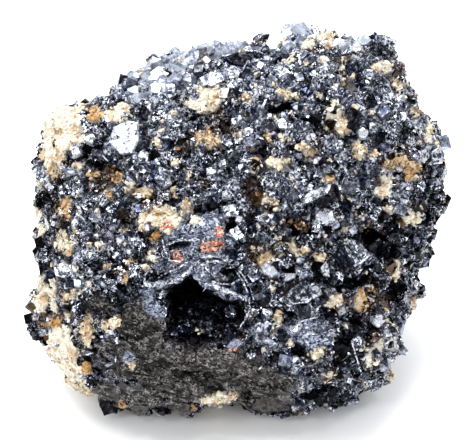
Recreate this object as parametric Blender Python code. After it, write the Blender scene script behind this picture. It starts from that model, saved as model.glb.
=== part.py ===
"""Perovskite specimen: one lump of intergrown black perovskite crystals in pale calcite.

The lump stands on a flat broken base. Its broad front leans back, so the form is worked out
in a face frame first: u runs to the right, v up the leaning front and w out of it, towards
a person who looks down on the specimen. The stone is then tipped back and cut off at the base.
"""
import math
import random

import bmesh
import bpy
from mathutils import Euler, Matrix, Vector, kdtree, noise

MM = 0.001

# Driving dimensions, in millimetres and degrees.
FRONT_LEAN = 35.0        # the front leans back this far from upright
FRONT_BULGE = 19.5       # the middle of the front stands this far before the rim
BACK_BULGE = 28.0        # and the middle of the back this far behind it
FRONT_BOXINESS = 2.5     # 2 is a round boulder, more is a squarer one
BACK_BOXINESS = 2.9
RIM_ABOVE_BASE = 26.2    # height of the face frame's centre above the base
ORIGIN_SHIFT = (0.485, -0.255)   # moves the middle of the finished box onto the origin, X and Y
RIM_INSET = 0.5          # the stone lies this far inside the crystals of the outline
SWELL = 1.2              # uneven height of the whole surface
SWELLS_ACROSS = 3.1      # and how closely its swells follow each other
SWELL_PLACE = (4.0, 1.0, 7.0)    # where in the noise the swells are read
STONE_POINTS = 1600      # vertices of the broken stone
GRAINS = 420             # intergrown grains, each with one flat broken face
GRAIN_TILT = 0.44        # how far a grain's face leans from the stone's surface
GRAIN_STEP = 1.2         # the most that a grain stands above or below its neighbours
STEEPEST = 0.2           # cosine past which a grain's face is taken as no steeper
DEEPEST_GRAIN = 1.7      # no grain stands further than this from the broad form
RIM_GRAIN = 0.9          # or than this at the rim
RIM_SUNK = 0.985         # crystals of the rim are drawn in to this share of their radius
LARGE_SUNK = 0.30        # share of a large crystal's least size that it is sunk by
CUT_CORNER = 0.36        # share of a cut cube's half edge that its corners lose
SLAB_SIDES = 6           # sides of a broken block's outline
SCATTERED_CRYSTALS = 120
SCATTERED_EDGE = (2.8, 5.2)      # least and greatest size of a scattered crystal
SCATTERED_SUNK = 0.28            # share of its size that it is sunk by
SCATTERED_RIM_SUNK = 0.42        # and at the rim
CRYSTAL_GAP = 4.4        # scattered crystals keep this far apart, centre to centre
CAVITY_MARGIN = 9.0      # and this far from the middle of the cavity's mouth
BASE_SPREAD = 0.72       # cosine of the angle from straight down that stays bare for the base
SEED = 11

# Flat breaks of the sides and the back: which way each one faces in u, v and w, and how far
# it lies from the centre.
BREAKS = [
    ((0.08, 0.22, -1.0), 23.5),
    ((0.75, 0.15, -0.85), 27.5),
    ((-0.70, 0.30, -0.85), 27.5),
    ((0.10, 0.95, -0.60), 26.5),
    ((0.85, 0.80, -0.40), 32.5),
    ((-0.60, 0.95, -0.30), 29.5),
    ((-0.60, -0.55, -0.80), 27.5),
    ((0.60, -0.60, -0.75), 28.0),
    ((1.0, -0.35, 0.42), 31.0),
    ((-1.0, 0.12, 0.55), 31.5),
]

# The rim of the stone as (u, v), anticlockwise from the right.
OUTLINE = [
    (30.8, 1.0), (32.8, 3.6), (32.9, 8.0), (33.4, 13.0), (31.8, 16.0), (29.2, 18.4),
    (28.0, 21.4), (26.2, 23.4), (25.8, 26.0), (21.8, 28.8), (17.4, 29.4), (13.4, 31.0),
    (9.4, 31.8), (5.0, 30.2), (1.2, 28.0), (-4.2, 28.6), (-10.8, 27.2), (-14.6, 25.0),
    (-17.6, 23.4), (-19.4, 20.6), (-24.4, 18.4), (-30.0, 18.0), (-31.6, 14.0), (-32.8, 8.4),
    (-32.8, 3.4), (-32.2, -1.2), (-32.8, -4.6), (-32.2, -11.0), (-33.0, -16.0), (-32.6, -19.6),
    (-29.6, -22.4), (-28.2, -25.4), (-24.2, -29.2), (-17.8, -30.0), (-9.6, -30.4), (-1.0, -29.2),
    (5.4, -30.6), (11.2, -30.6), (17.6, -29.4), (22.4, -27.0), (24.2, -22.8), (26.6, -16.0),
    (28.8, -11.8), (29.6, -7.0), (30.8, -2.6),
]

# Broad swells (+) and dips (-) of the front: u, v, radius, height.
FRONT_RELIEF = [
    (-6.0, -3.0, 9.0, 1.6),      # the large crystal over the cavity
    (-16.0, -13.0, 6.5, 1.2),    # the smooth block left of the cavity
    (-6.0, -21.0, 9.0, 0.8),     # the dark massive foot
    (22.0, -6.0, 5.0, -2.2),     # the shadowed hollow at the right
    (-3.0, 14.5, 4.0, -1.6),     # the ochre hollow
    (8.0, 17.0, 4.0, -1.2),      # the dark crack
    (27.0, 9.0, 4.0, -1.6),      # the ochre notch at the right
    (-18.0, 13.0, 5.0, 0.9),     # the bright crystal's shoulder
    (-21.5, 8.0, 4.0, -1.2),     # the crevice below it
    (15.0, -14.0, 6.0, 1.0),     # the lower right crystals
    (20.0, 21.0, 7.0, 0.9),      # the upper right corner
    (2.0, 22.0, 8.0, -1.2),      # the set-back shelf along the top
    (-9.0, 20.5, 6.0, -1.4),
    (3.0, 4.0, 8.0, 0.6),
]

# The main cavity's mouth as (u, v), and how its far end is moved and shrunk.
CAVITY_MOUTH = [
    (-10.9, -17.6), (-11.3, -11.4), (-8.6, -9.6), (-7.4, -7.4), (-5.8, -9.2),
    (-2.6, -10.6), (0.6, -12.6), (0.2, -15.4), (-1.6, -17.9),
]
CAVITY_MIDDLE = (-5.4, -13.6)
CAVITY_DEPTH = 11.0
CAVITY_END_SHIFT = (-0.6, 7.6)
CAVITY_END_SHARE = 0.84
CAVITY_RINGS = (-0.6, 0.45, 1.0)     # where the cutter's outlines lie, as shares of the depth
CAVITY_WAVE = 0.8                    # how uneven its floor is

# Each pit narrows from a flare over the surface to a blunt end: depth share and width share.
PIT_RINGS = [(-0.8, 1.25), (0.0, 1.0), (1.0, 0.5)]
PIT_SIDES = 7

# Smaller pits as a mouth centre (u, v), half width, half height, depth and turn.
PITS = [
    (-1.5, -7.0, 2.2, 1.4, 2.6, 15.0),    # over the cavity, behind the thin lip
    (-1.6, -0.6, 1.5, 1.2, 3.4, -30.0),
    (21.6, -1.8, 3.4, 1.6, 3.6, -12.0),
    (-5.2, 16.0, 3.0, 1.0, 3.4, 4.0),
    (7.6, 17.8, 4.4, 0.9, 3.0, 6.0),
    (24.8, 11.4, 1.3, 1.9, 3.2, 10.0),
    (8.2, -7.0, 1.7, 1.0, 2.4, 5.0),
]

# Crystals large enough to name by place: u, v, w (None sits on the front), size in three
# directions, turn about each axis in degrees, and habit.
LARGE_CRYSTALS = [
    (-18.4, 13.6, None, (5.2, 5.4, 4.0), (-24, -16, 12), "slab"),
    (22.0, 27.2, None, (6.0, 4.8, 5.0), (-14, 24, -18), "slab"),
    (0.4, 26.2, None, (7.6, 2.6, 3.6), (24, 4, 9), "cube"),
    (-32.4, 8.2, -1.0, (3.4, 4.6, 3.6), (10, 28, 14), "cut_cube"),
    (9.8, 30.2, -1.5, (4.6, 4.0, 4.4), (20, 12, 24), "cut_cube"),
    (6.6, 28.6, 0.0, (3.8, 3.6, 3.6), (-10, 24, -12), "cube"),
    (14.2, 29.2, 1.0, (4.6, 3.4, 4.0), (14, -18, 32), "cuboctahedron"),
    (27.4, 20.8, 0.5, (2.8, 3.0, 3.2), (24, 30, -20), "cube"),
    (25.6, 24.6, 1.0, (2.2, 2.8, 2.6), (-12, 18, 34), "cube"),
    (32.2, 14.0, -0.5, (3.4, 3.6, 3.6), (18, -24, 20), "cuboctahedron"),
    (31.6, 9.4, 1.0, (3.4, 3.2, 3.2), (30, 14, -8), "cut_cube"),
    (32.2, 4.4, -0.5, (2.6, 4.0, 3.4), (8, 26, 10), "cube"),
    (30.4, 17.2, 1.5, (2.4, 2.2, 2.4), (26, 10, 40), "octahedron"),
    (18.0, -5.8, None, (7.0, 5.4, 4.8), (30, -18, 28), "slab"),
    (9.6, -11.4, None, (4.4, 3.4, 3.4), (10, 22, -14), "cut_cube"),
    (11.6, -18.2, None, (7.0, 5.4, 4.4), (22, -12, 18), "slab"),
    (12.6, 3.4, None, (4.6, 2.6, 3.0), (-20, 16, 10), "cube"),
    (9.4, 15.4, None, (3.6, 2.0, 2.8), (14, 12, -16), "cube"),
    (14.0, 9.2, None, (2.4, 1.8, 2.2), (20, -20, 8), "cube"),
    (4.8, -30.2, 1.5, (8.0, 4.4, 5.4), (8, 10, -2), "slab"),
    (-16.4, -30.2, 1.0, (3.4, 3.6, 3.8), (20, 14, 30), "cuboctahedron"),
    (-9.2, -30.3, 1.0, (3.2, 3.4, 3.4), (34, 8, 42), "cuboctahedron"),
    (-21.0, -29.4, 1.5, (4.0, 3.4, 3.6), (12, 28, 10), "cut_cube"),
    (-31.8, -18.6, 0.5, (5.6, 3.8, 4.6), (14, 22, -26), "cut_cube"),
    (-32.8, -15.2, 0.0, (2.4, 2.2, 2.4), (30, 20, 40), "octahedron"),
    (-32.2, 3.0, 0.5, (3.0, 3.8, 3.4), (22, 30, 6), "cuboctahedron"),
    (-32.2, -3.6, 0.0, (2.6, 4.0, 3.4), (18, 12, 12), "cube"),
    (-31.8, -6.8, 0.5, (3.0, 2.8, 3.0), (32, 20, 18), "cut_cube"),
    (-25.6, 11.4, None, (4.6, 4.2, 3.8), (28, -26, 16), "cuboctahedron"),
    (-27.6, -10.4, 2.5, (2.6, 4.2, 3.4), (12, 24, 8), "cut_cube"),
    (-26.0, -24.6, 3.0, (3.6, 3.6, 3.6), (24, 18, 30), "cut_cube"),
    (-15.2, -15.4, None, (9.2, 12.0, 6.0), (12, 8, 14), "slab"),
    (-18.6, -10.6, None, (5.0, 6.0, 5.0), (16, -12, 10), "cube"),
    (-7.4, -2.6, None, (10.4, 8.6, 5.0), (16, -12, 16), "slab"),
    (-3.2, -4.6, None, (6.0, 5.4, 4.4), (-10, 20, 34), "cut_cube"),
    (-13.2, -7.0, None, (6.0, 4.4, 4.2), (24, 12, 28), "cube"),
    (29.8, -5.4, 0.5, (4.0, 4.0, 4.0), (20, 14, 20), "cuboctahedron"),
    (28.8, -11.2, 0.5, (2.6, 2.8, 3.0), (34, 16, 40), "cube"),
    (30.2, -1.0, 0.0, (2.4, 3.2, 3.0), (18, 30, 12), "cube"),
    (25.2, -20.6, 0.5, (3.2, 3.4, 3.6), (20, 8, 30), "cut_cube"),
    (22.8, -25.4, 1.0, (3.6, 2.8, 3.2), (28, 22, 12), "cube"),
    (16.2, -28.6, 1.5, (4.0, 2.8, 3.4), (16, 10, 24), "cube"),
    (10.4, -29.8, 1.0, (3.8, 3.0, 3.4), (12, 28, 18), "cut_cube"),
    (-25.0, 17.6, 1.0, (4.2, 3.0, 4.0), (18, 8, 10), "cuboctahedron"),
    (-20.6, 19.6, 1.5, (3.0, 2.4, 2.8), (26, 18, 30), "cube"),
    (-17.4, 22.4, 0.5, (3.6, 3.0, 3.4), (14, 24, 22), "cuboctahedron"),
    (-12.4, 25.8, 0.5, (4.0, 3.0, 3.6), (22, 12, 16), "cut_cube"),
    (-5.0, 27.8, 0.5, (4.6, 2.8, 3.6), (18, 20, 8), "cut_cube"),
    (-8.8, 8.4, None, (2.8, 2.6, 2.6), (22, 30, 12), "cuboctahedron"),
    (4.6, 10.2, None, (3.0, 2.4, 2.6), (16, -24, 30), "cube"),
]


def slab_corners():
    """A broken block with flat front and back faces of uneven outline, a little wider behind."""
    corners = []
    for front, spread in ((1.0, 0.9), (-1.0, 1.1)):
        for k in range(SLAB_SIDES):
            bearing = math.tau * (k + random.uniform(-0.3, 0.3)) / SLAB_SIDES
            reach = spread * random.uniform(0.88, 1.12)
            corners.append((reach * math.cos(bearing), reach * math.sin(bearing), front))
    return corners


def corners_of(habit):
    """The corner points of a crystal habit that about fits a box from -1 to 1."""
    signs = (-1.0, 1.0)
    if habit == "cube":
        return [(x, y, z) for x in signs for y in signs for z in signs]
    if habit == "octahedron":
        return [tuple(s if i == axis else 0.0 for i in range(3)) for axis in range(3) for s in signs]
    if habit == "slab":
        return slab_corners()
    cut = 1.0 if habit == "cuboctahedron" else CUT_CORNER
    short = 1.0 - cut
    points = set()
    for axis in range(3):
        for a in signs:
            for b in signs:
                for c in signs:
                    corner = [a, b, c]
                    corner[axis] *= short
                    points.add(tuple(corner))
    return sorted(points)


def polar_outline():
    """The outline as (bearing, radius) pairs in rising order of bearing."""
    pairs = [(math.atan2(v, u) % math.tau, math.hypot(u, v) - RIM_INSET) for u, v in OUTLINE]
    return sorted(pairs)


RIM = polar_outline()
MEAN_RIM = sum(radius for _, radius in RIM) / len(RIM)


def rim_radius(bearing):
    """Radius of the outline at a bearing, straight between its neighbouring points."""
    bearing %= math.tau
    for (a, ra), (b, rb) in zip(RIM, RIM[1:] + [(RIM[0][0] + math.tau, RIM[0][1])]):
        if a <= bearing <= b:
            return ra + (rb - ra) * (bearing - a) / (b - a)
    low, high = RIM[-1], RIM[0]
    share = (bearing + math.tau - low[0]) / (high[0] + math.tau - low[0])
    return low[1] + (high[1] - low[1]) * share


def smooth_radius(direction):
    """Distance from the centre of the face frame to the stone's broad form, in millimetres."""
    flat = math.hypot(direction.x, direction.y)
    reach = rim_radius(math.atan2(direction.y, direction.x))
    reach = MEAN_RIM + (reach - MEAN_RIM) * flat ** 3
    bulge, boxiness = (FRONT_BULGE, FRONT_BOXINESS) if direction.z > 0.0 else (BACK_BULGE, BACK_BOXINESS)
    share = (flat / reach) ** boxiness + (abs(direction.z) / bulge) ** boxiness
    radius = share ** (-1.0 / boxiness)
    if direction.z > 0.0:
        for u, v, spread, height in FRONT_RELIEF:
            away = math.hypot(radius * direction.x - u, radius * direction.y - v) / spread
            radius += height * math.exp(-away * away)
    for facing, distance in BREAKS:
        across = direction.dot(Vector(facing).normalized())
        if across * radius > distance:
            radius = distance / across
    return radius + SWELL * noise.noise(direction * SWELLS_ACROSS + Vector(SWELL_PLACE))


def even_directions(count, shake):
    """Directions spread evenly over a sphere, each shaken a little."""
    golden = math.pi * (3.0 - math.sqrt(5.0))
    spacing = math.sqrt(4.0 * math.pi / count)
    directions = []
    for i in range(count):
        z = 1.0 - (2.0 * i + 1.0) / count
        flat = math.sqrt(1.0 - z * z)
        point = Vector((flat * math.cos(i * golden), flat * math.sin(i * golden), z))
        moved = Vector([random.uniform(-shake, shake) * spacing for _ in range(3)])
        directions.append((point + moved).normalized())
    return directions


def broken_grains():
    """The grains' flat faces as (point, normal) pairs, and a tree to find them by direction."""
    tree = kdtree.KDTree(GRAINS)
    faces = []
    for i, direction in enumerate(even_directions(GRAINS, 0.4)):
        lean = Vector([random.uniform(-GRAIN_TILT, GRAIN_TILT) for _ in range(3)])
        point = direction * (smooth_radius(direction) + random.uniform(-0.5, 0.5) * GRAIN_STEP)
        faces.append((point, (direction + lean).normalized()))
        tree.insert(direction, i)
    tree.balance()
    return faces, tree


def stone_radius(direction, grains):
    """Distance to the stone's broken surface: the face of the grain found in that direction."""
    faces, tree = grains
    broad = smooth_radius(direction)
    point, normal = faces[tree.find(direction)[1]]
    cut = point.dot(normal) / max(direction.dot(normal), STEEPEST)
    limit = rim_limit(direction)
    return broad + max(-limit, min(limit, cut - broad))


def nearness_to_rim(direction):
    """1 on the rim, and quickly less before and behind it."""
    return math.hypot(direction.x, direction.y) ** 8


def rim_limit(direction):
    """How far a grain may stand in or out: less at the rim, so that the outline keeps its place."""
    return DEEPEST_GRAIN + (RIM_GRAIN - DEEPEST_GRAIN) * nearness_to_rim(direction)


def front_point(u, v):
    """The point of the front over (u, v), found by halving the span of w."""
    low, high = 0.0, 2.0 * FRONT_BULGE
    for _ in range(24):
        w = 0.5 * (low + high)
        point = Vector((u, v, w))
        if point.length < smooth_radius(point.normalized()):
            low = w
        else:
            high = w
    return Vector((u, v, low))


def hull_object(name, points, material):
    """A closed convex mesh around the points, which are in the face frame's millimetres."""
    bm = bmesh.new()
    for point in points:
        bm.verts.new(Vector(point) * MM)
    hull = bmesh.ops.convex_hull(bm, input=bm.verts)
    loose = {g for g in hull["geom_interior"] + hull["geom_unused"] if isinstance(g, bmesh.types.BMVert)}
    bmesh.ops.delete(bm, geom=list(loose), context="VERTS")
    bmesh.ops.recalc_face_normals(bm, faces=bm.faces)
    mesh = bpy.data.meshes.new(name)
    bm.to_mesh(mesh)
    bm.free()
    mesh.materials.append(material)
    return bpy.data.objects.new(name, mesh)


def stone_object(name, grains, material):
    """The broken stone: an uneven net of points over its surface."""
    directions = even_directions(STONE_POINTS, 0.3)
    stone = hull_object(name, [d / MM for d in directions], material)
    for vertex in stone.data.vertices:
        direction = vertex.co.normalized()
        vertex.co = direction * stone_radius(direction, grains) * MM
    return stone


def crystal_object(name, centre, size, turn, habit, material):
    """One crystal of the given habit, size and turn about its centre."""
    rotation = Euler([math.radians(a) for a in turn]).to_matrix()
    half = Vector(size) / 2.0
    points = [centre + rotation @ Vector([c * h for c, h in zip(corner, half)])
              for corner in corners_of(habit)]
    return hull_object(name, points, material)


def large_crystals(material):
    """The crystals that are placed by hand."""
    made = []
    for i, (u, v, w, size, turn, habit) in enumerate(LARGE_CRYSTALS):
        if w is None:
            centre = front_point(u, v) - Vector((0.0, 0.0, LARGE_SUNK * min(size)))
        else:
            centre = Vector((u, v, w)) * RIM_SUNK
        made.append(crystal_object(f"large_crystal_{i:02d}", centre, size, turn, habit, material))
    return made


def scattered_crystals(material):
    """Smaller crystals all over the stone, apart from its base and the cavity's mouth."""
    made, places = [], []
    cavity = front_point(*CAVITY_MIDDLE)
    down = lean_matrix().inverted() @ Vector((0.0, 0.0, -1.0))
    while len(made) < SCATTERED_CRYSTALS:
        direction = Vector([random.gauss(0.0, 1.0) for _ in range(3)]).normalized()
        edge = random.uniform(*SCATTERED_EDGE)
        rim = nearness_to_rim(direction)
        sunk = SCATTERED_SUNK + (SCATTERED_RIM_SUNK - SCATTERED_SUNK) * rim
        place = direction * (smooth_radius(direction) - sunk * edge)
        size = [edge * random.uniform(0.75, 1.25) for _ in range(3)]
        turn = [random.uniform(-180.0, 180.0) for _ in range(3)]
        habit = random.choice(("cube", "cut_cube", "cuboctahedron", "octahedron"))
        near = any((place - other).length < CRYSTAL_GAP for other in places)
        at_cavity = (place - cavity).length < CAVITY_MARGIN
        if near or at_cavity or direction.dot(down) > BASE_SPREAD:
            continue
        places.append(place)
        made.append(crystal_object(f"crystal_{len(made):03d}", place, size, turn, habit, material))
    return made


def cavity_cutter(material):
    """The main cavity: a hollow that goes level into the upright stone from its mouth."""
    mouth_w = front_point(*CAVITY_MIDDLE).z
    centre_u = sum(u for u, _ in CAVITY_MOUTH) / len(CAVITY_MOUTH)
    centre_v = sum(v for _, v in CAVITY_MOUTH) / len(CAVITY_MOUTH)
    bm = bmesh.new()
    rings = []
    for step in CAVITY_RINGS:
        share = 1.0 + (CAVITY_END_SHARE - 1.0) * step
        ring = []
        for u, v in CAVITY_MOUTH:
            ring.append(bm.verts.new(Vector((
                centre_u + (u - centre_u) * share + CAVITY_END_SHIFT[0] * step,
                centre_v + (v - centre_v) * share + CAVITY_END_SHIFT[1] * step,
                mouth_w - CAVITY_DEPTH * step + CAVITY_WAVE * math.sin(7.0 * u) * step,
            )) * MM))
        rings.append(ring)
    for upper, lower in zip(rings, rings[1:]):
        for i in range(len(upper)):
            j = (i + 1) % len(upper)
            bm.faces.new((upper[i], upper[j], lower[j], lower[i]))
    bm.faces.new(rings[0])
    bm.faces.new(rings[-1])
    bmesh.ops.triangulate(bm, faces=bm.faces)
    bmesh.ops.recalc_face_normals(bm, faces=bm.faces)
    mesh = bpy.data.meshes.new("cavity")
    bm.to_mesh(mesh)
    bm.free()
    mesh.materials.append(material)
    return bpy.data.objects.new("cavity", mesh)


def pit_cutters(material):
    """The smaller pits: uneven blunt wedges that are wide at the mouth."""
    made = []
    for i, (u, v, half_u, half_v, depth, turn) in enumerate(PITS):
        mouth = front_point(u, v)
        spin = Matrix.Rotation(math.radians(turn), 3, "Z")
        points = []
        for down, share in PIT_RINGS:
            for k in range(PIT_SIDES):
                angle = math.tau * (k + random.uniform(-0.3, 0.3)) / PIT_SIDES
                reach = share * random.uniform(0.7, 1.15)
                edge = Vector((half_u * math.cos(angle), half_v * math.sin(angle), 0.0)) * reach
                points.append(mouth + spin @ edge - Vector((0.0, 0.0, down * depth)))
        made.append(hull_object(f"pit_{i}", points, material))
    return made


def base_cutter(material):
    """A block under the base plane, in the upright frame's millimetres."""
    wide, deep = 60.0, 40.0
    points = [(x, y, z) for x in (-wide, wide) for y in (-wide, wide) for z in (-deep, 0.0)]
    return hull_object("base_block", points, material)


def lean_matrix():
    """Turns the face frame back, so that its w axis points forwards and up."""
    return Matrix.Rotation(math.radians(90.0 - FRONT_LEAN), 3, "X")


def helpers_collection(name, objects):
    """A collection of shapes that only join or cut, and so are not shown."""
    collection = bpy.data.collections.new(name)
    bpy.context.scene.collection.children.link(collection)
    for obj in objects:
        obj.hide_render = True
        obj.display_type = "WIRE"
        collection.objects.link(obj)
    return collection


def add_boolean(obj, name, operation, collection):
    """Joins the collection's shapes to obj, or cuts them out of it."""
    modifier = obj.modifiers.new(name, "BOOLEAN")
    modifier.operation = operation
    modifier.operand_type = "COLLECTION"
    modifier.collection = collection
    modifier.solver = "EXACT"


def stone_material(name, colour, roughness_value, metallic):
    """A plain material with the given colour, roughness and metallic value."""
    material = bpy.data.materials.new(name)
    material.use_nodes = True
    shader = material.node_tree.nodes["Principled BSDF"]
    shader.inputs["Base Color"].default_value = (*colour, 1.0)
    shader.inputs["Roughness"].default_value = roughness_value
    shader.inputs["Metallic"].default_value = metallic
    return material


def main():
    for obj in list(bpy.data.objects):
        bpy.data.objects.remove(obj)
    random.seed(SEED)
    perovskite = stone_material("perovskite", (0.035, 0.037, 0.045), 0.3, 0.3)
    specimen = stone_object("perovskite_specimen", broken_grains(), perovskite)
    crystals = large_crystals(perovskite) + scattered_crystals(perovskite)
    hollows = [cavity_cutter(perovskite)] + pit_cutters(perovskite)
    base = base_cutter(perovskite)
    place = Vector((*ORIGIN_SHIFT, RIM_ABOVE_BASE)) * MM
    tipped = Matrix.Translation(place) @ lean_matrix().to_4x4()
    for obj in [specimen] + crystals + hollows:
        obj.data.transform(tipped)
    bpy.context.scene.collection.objects.link(specimen)
    add_boolean(specimen, "grown_crystals", "UNION", helpers_collection("crystals", crystals))
    add_boolean(specimen, "hollows", "DIFFERENCE", helpers_collection("hollows", hollows))
    add_boolean(specimen, "broken_base", "DIFFERENCE", helpers_collection("below_base", [base]))


main()
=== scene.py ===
"""Looks of the perovskite specimen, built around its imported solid.

The solid becomes a finely broken stone. Crystals, crumbs of calcite and crumbs of rust grow on it,
where the photograph shows them on the front and in patches of the same kind on the other sides.
"""
import itertools
import math
import re

import bmesh
import bpy
import numpy as np
from mathutils import Matrix, Vector
from mathutils.bvhtree import BVHTree


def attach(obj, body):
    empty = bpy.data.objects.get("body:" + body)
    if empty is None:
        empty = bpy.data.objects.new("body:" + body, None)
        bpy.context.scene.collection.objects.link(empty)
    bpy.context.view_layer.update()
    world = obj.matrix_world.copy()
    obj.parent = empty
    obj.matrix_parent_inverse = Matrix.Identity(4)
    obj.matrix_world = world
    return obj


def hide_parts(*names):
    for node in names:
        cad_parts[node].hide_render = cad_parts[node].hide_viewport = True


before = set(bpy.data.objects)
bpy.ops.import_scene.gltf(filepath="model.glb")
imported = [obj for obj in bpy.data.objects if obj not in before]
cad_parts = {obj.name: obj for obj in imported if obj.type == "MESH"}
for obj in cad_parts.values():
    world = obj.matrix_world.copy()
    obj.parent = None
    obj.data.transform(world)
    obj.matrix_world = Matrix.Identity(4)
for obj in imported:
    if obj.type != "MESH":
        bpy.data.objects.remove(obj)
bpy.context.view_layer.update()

MM = 0.001
NODE = "perovskite_specimen"
BODY = "root"

# The camera looks down at the leaning front, square to it.
FRONT_LEAN = 35.0
PHOTO_WIDE, PHOTO_HIGH = 474, 440
FOCAL_MM, SENSOR_MM = 100.0, 36.0
CAMERA_MM = 218.5                    # from the aim to the camera
AIM_MM = (0.2, -0.1, 26.4)           # the point of the stone that the camera looks at
FACE_CENTRE_MM = (0.485, -0.255, 26.2)    # the origin of the face frame


def rows_of(text):
    """The numbers in each line of a text. The words before them only name the place."""
    lines = text.strip().splitlines()
    return [[float(number) for number in re.findall(r"-?[\d.]+", line)] for line in lines]


def outlines_of(text, settings):
    """The same, with the numbers that follow each line's settings paired as points."""
    rows = rows_of(text)
    return [(*row[:settings], list(zip(row[settings::2], row[settings + 1::2]))) for row in rows]


# Places are pixels of the 474 by 440 photograph. A patch is an ellipse: its centre, half
# width, half height, and turn in degrees clockwise. A patch of calcite has a tint too, from 0, ochre,
# through 0.5, cream, to 1, white.
CALCITE_PATCHES = rows_of("""
upper left mass: 64 115 29 28 -12 0.72
upper left, middle: 60 143 12 11 0 0.72
upper left foot: 52 150 12 17 10 0.72
upper left ochre: 94 115 14 9 -20 0.15
shoulder: 118 112 18 9 -8 0.7
left notch: 54 172 7 9 20 0.35
gap under the bright crystal: 116 178 7 5 20 0.1
left streak: 95 174 7 4 20 0.15
left crumbs: 75 166 7 4 10 0.5
left rim, upper: 39 218 6 18 -8 0.6
left ochre: 66 208 6 13 10 0.15
left cream: 66 243 9 12 10 0.5
left pale: 101 240 8 7 0 0.75
left rim, middle: 45 297 11 20 4 0.74
left crumb, low: 67 297 8 5 0 0.5
left pale, low: 70 268 10 4 0 0.85
crevice cream: 109 324 9 6 0 0.4
block cream: 88 328 7 15 -20 0.5
block cream, low: 86 342 8 5 20 0.5
lower left mass: 66 358 15 34 -18 0.76
lower left rust: 50 320 13 6 15 0.02
lower left mass, foot: 82 392 12 12 30 0.4
lower left brown: 88 368 6 8 -40 0.1
grey green: 132 365 3 4 0 0.6
foot ochre: 122 404 6 3 0 0.1
foot cream: 222 398 20 5 -10 0.55
foot ochre, middle: 195 407 6 3 -10 0.15
foot orange: 296 409 7 3 15 0.05
rosette: 158 218 19 14 5 0.58
rosette, left: 143 192 12 6 -10 0.6
rosette, far left: 110 196 7 4 0 0.35
rosette, right: 187 207 7 8 20 0.55
over the rosette: 176 191 4 8 10 0.35
rosette foot: 155 236 6 4 0 0.05
under the rosette: 150 257 6 5 10 0.55
lip crumb: 145 268 7 4 10 0.75
crystal crumb: 196 221 4 4 0 0.6
yellow crumb: 132 262 5 4 0 0.4
yellow crumb, low: 126 276 5 4 0 0.2
crack cream: 157 145 5 5 0 0.45
crack crumb: 175 163 6 4 0 0.45
top cream: 211 90 12 15 -15 0.6
top cream, foot: 203 107 14 7 0 0.7
ochre hollow: 208 139 13 11 20 0.25
top crumb, left: 186 100 6 4 0 0.7
summit white: 325 38 11 10 0 0.9
summit cream: 309 44 8 5 -20 0.75
corner cream: 383 68 13 7 0 0.7
corner foot: 398 85 5 10 -15 0.6
corner crumb: 342 64 4 6 0 0.5
corner crumb, low: 354 77 5 3 20 0.45
summit crumb: 290 60 7 4 -20 0.75
shelf cream: 288 94 14 4 15 0.6
shelf crumb: 246 99 5 4 0 0.45
right edge cream: 413 110 9 7 0 0.5
right edge strip: 429 134 4 12 10 0.6
right edge white: 423 157 6 5 0 0.85
ring: 333 109 8 10 0 0.62
right ochre drop: 354 111 5 7 10 0.35
right cream: 343 127 10 8 -30 0.6
right crumb: 326 129 5 4 0 0.5
middle cream: 311 149 10 10 20 0.45
middle ochre: 268 137 4 8 0 0.2
middle pink: 276 164 11 6 -10 0.6
middle crumb: 255 167 5 4 0 0.5
right pair: 359 150 7 9 10 0.4
right pair, right: 376 154 6 5 0 0.45
right ochre: 394 162 7 8 -20 0.25
right orange: 410 171 11 10 30 0.12
right white: 385 178 8 10 0 0.85
right white, low: 381 193 8 5 0 0.85
middle ochre, right: 335 195 6 4 -20 0.35
right green: 412 218 13 9 0 0.62
right green, left: 391 210 10 4 0 0.62
middle green: 269 200 12 5 10 0.45
eyebrow: 291 246 18 7 8 0.6
eyebrow, left: 266 258 11 6 -10 0.35
eyebrow, right: 318 257 7 6 30 0.45
lower ochre: 361 301 6 12 0 0.25
lower white: 334 301 9 6 -20 0.72
lower crumb: 278 318 5 9 -10 0.55
lower crumb, small: 288 342 5 4 0 0.75
lower streak: 318 352 9 5 -40 0.5
lower pale: 328 374 9 4 10 0.72
lower right white: 377 345 14 7 -45 0.9
lower right white, foot: 370 359 7 9 0 0.9
lower right crumb: 366 381 5 4 0 0.75
lower right rim: 389 379 7 6 0 0.5
right low crumb: 397 274 5 7 10 0.45
right low crumb, foot: 389 325 4 5 0 0.55
right rim, low: 412 305 7 5 -30 0.6
""")
RUST_PATCHES = rows_of("""
over the cavity: 211 246 12 5 -5
over the cavity, small: 219 231 3.5 4.5 20
left of the cavity: 178 256 4 6 0
foot of the cavity: 232 346 3 5 0
rosette: 166 225 4 3 20
cavity foot, right: 240 335 3 2 0
""")
# Dark massive stone with few grains.
MASSIVE_PATCHES = rows_of("""
foot: 190 370 98 30 6
block: 143 328 28 36 -4
foot, right: 252 388 46 24 0
right block: 297 293 15 12 0
foot, left: 112 396 19 15 0
foot, whole: 165 396 80 16 2
foot lump, left: 142 402 16 15 0
foot lump, middle: 181 403 14 14 0
left, over the crevice: 100 305 16 9 0
block foot: 109 348 10 11 0
""")
# Silvery rough faces.
SILVER_PATCHES = rows_of("""
crystal over the cavity: 196 244 46 38 -20
left lip: 163 280 22 8 -12
right lip: 222 292 20 6 25
smile: 287 272 24 6 0
lower silver: 310 334 22 17 0
block stripes: 156 309 15 8 24
block top: 148 294 14 5 8
grey green: 129 359 6 8 -30
""")
# Smooth pale lumps, most of them at the top where the light falls: larger crystals, painted pale and
# frosted as a painted highlight.
PALE_PATCHES = rows_of("""
summit: 298 34 32 13 -14
back ridge: 215 53 36 11 -6
back ridge, left: 163 76 42 17 -26
left back: 140 90 22 9 -10
under the bar: 232 74 14 9 0
corner, left: 350 45 12 8 0
right edge: 436 152 10 14 0
left edge: 40 176 10 12 0
""")
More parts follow.
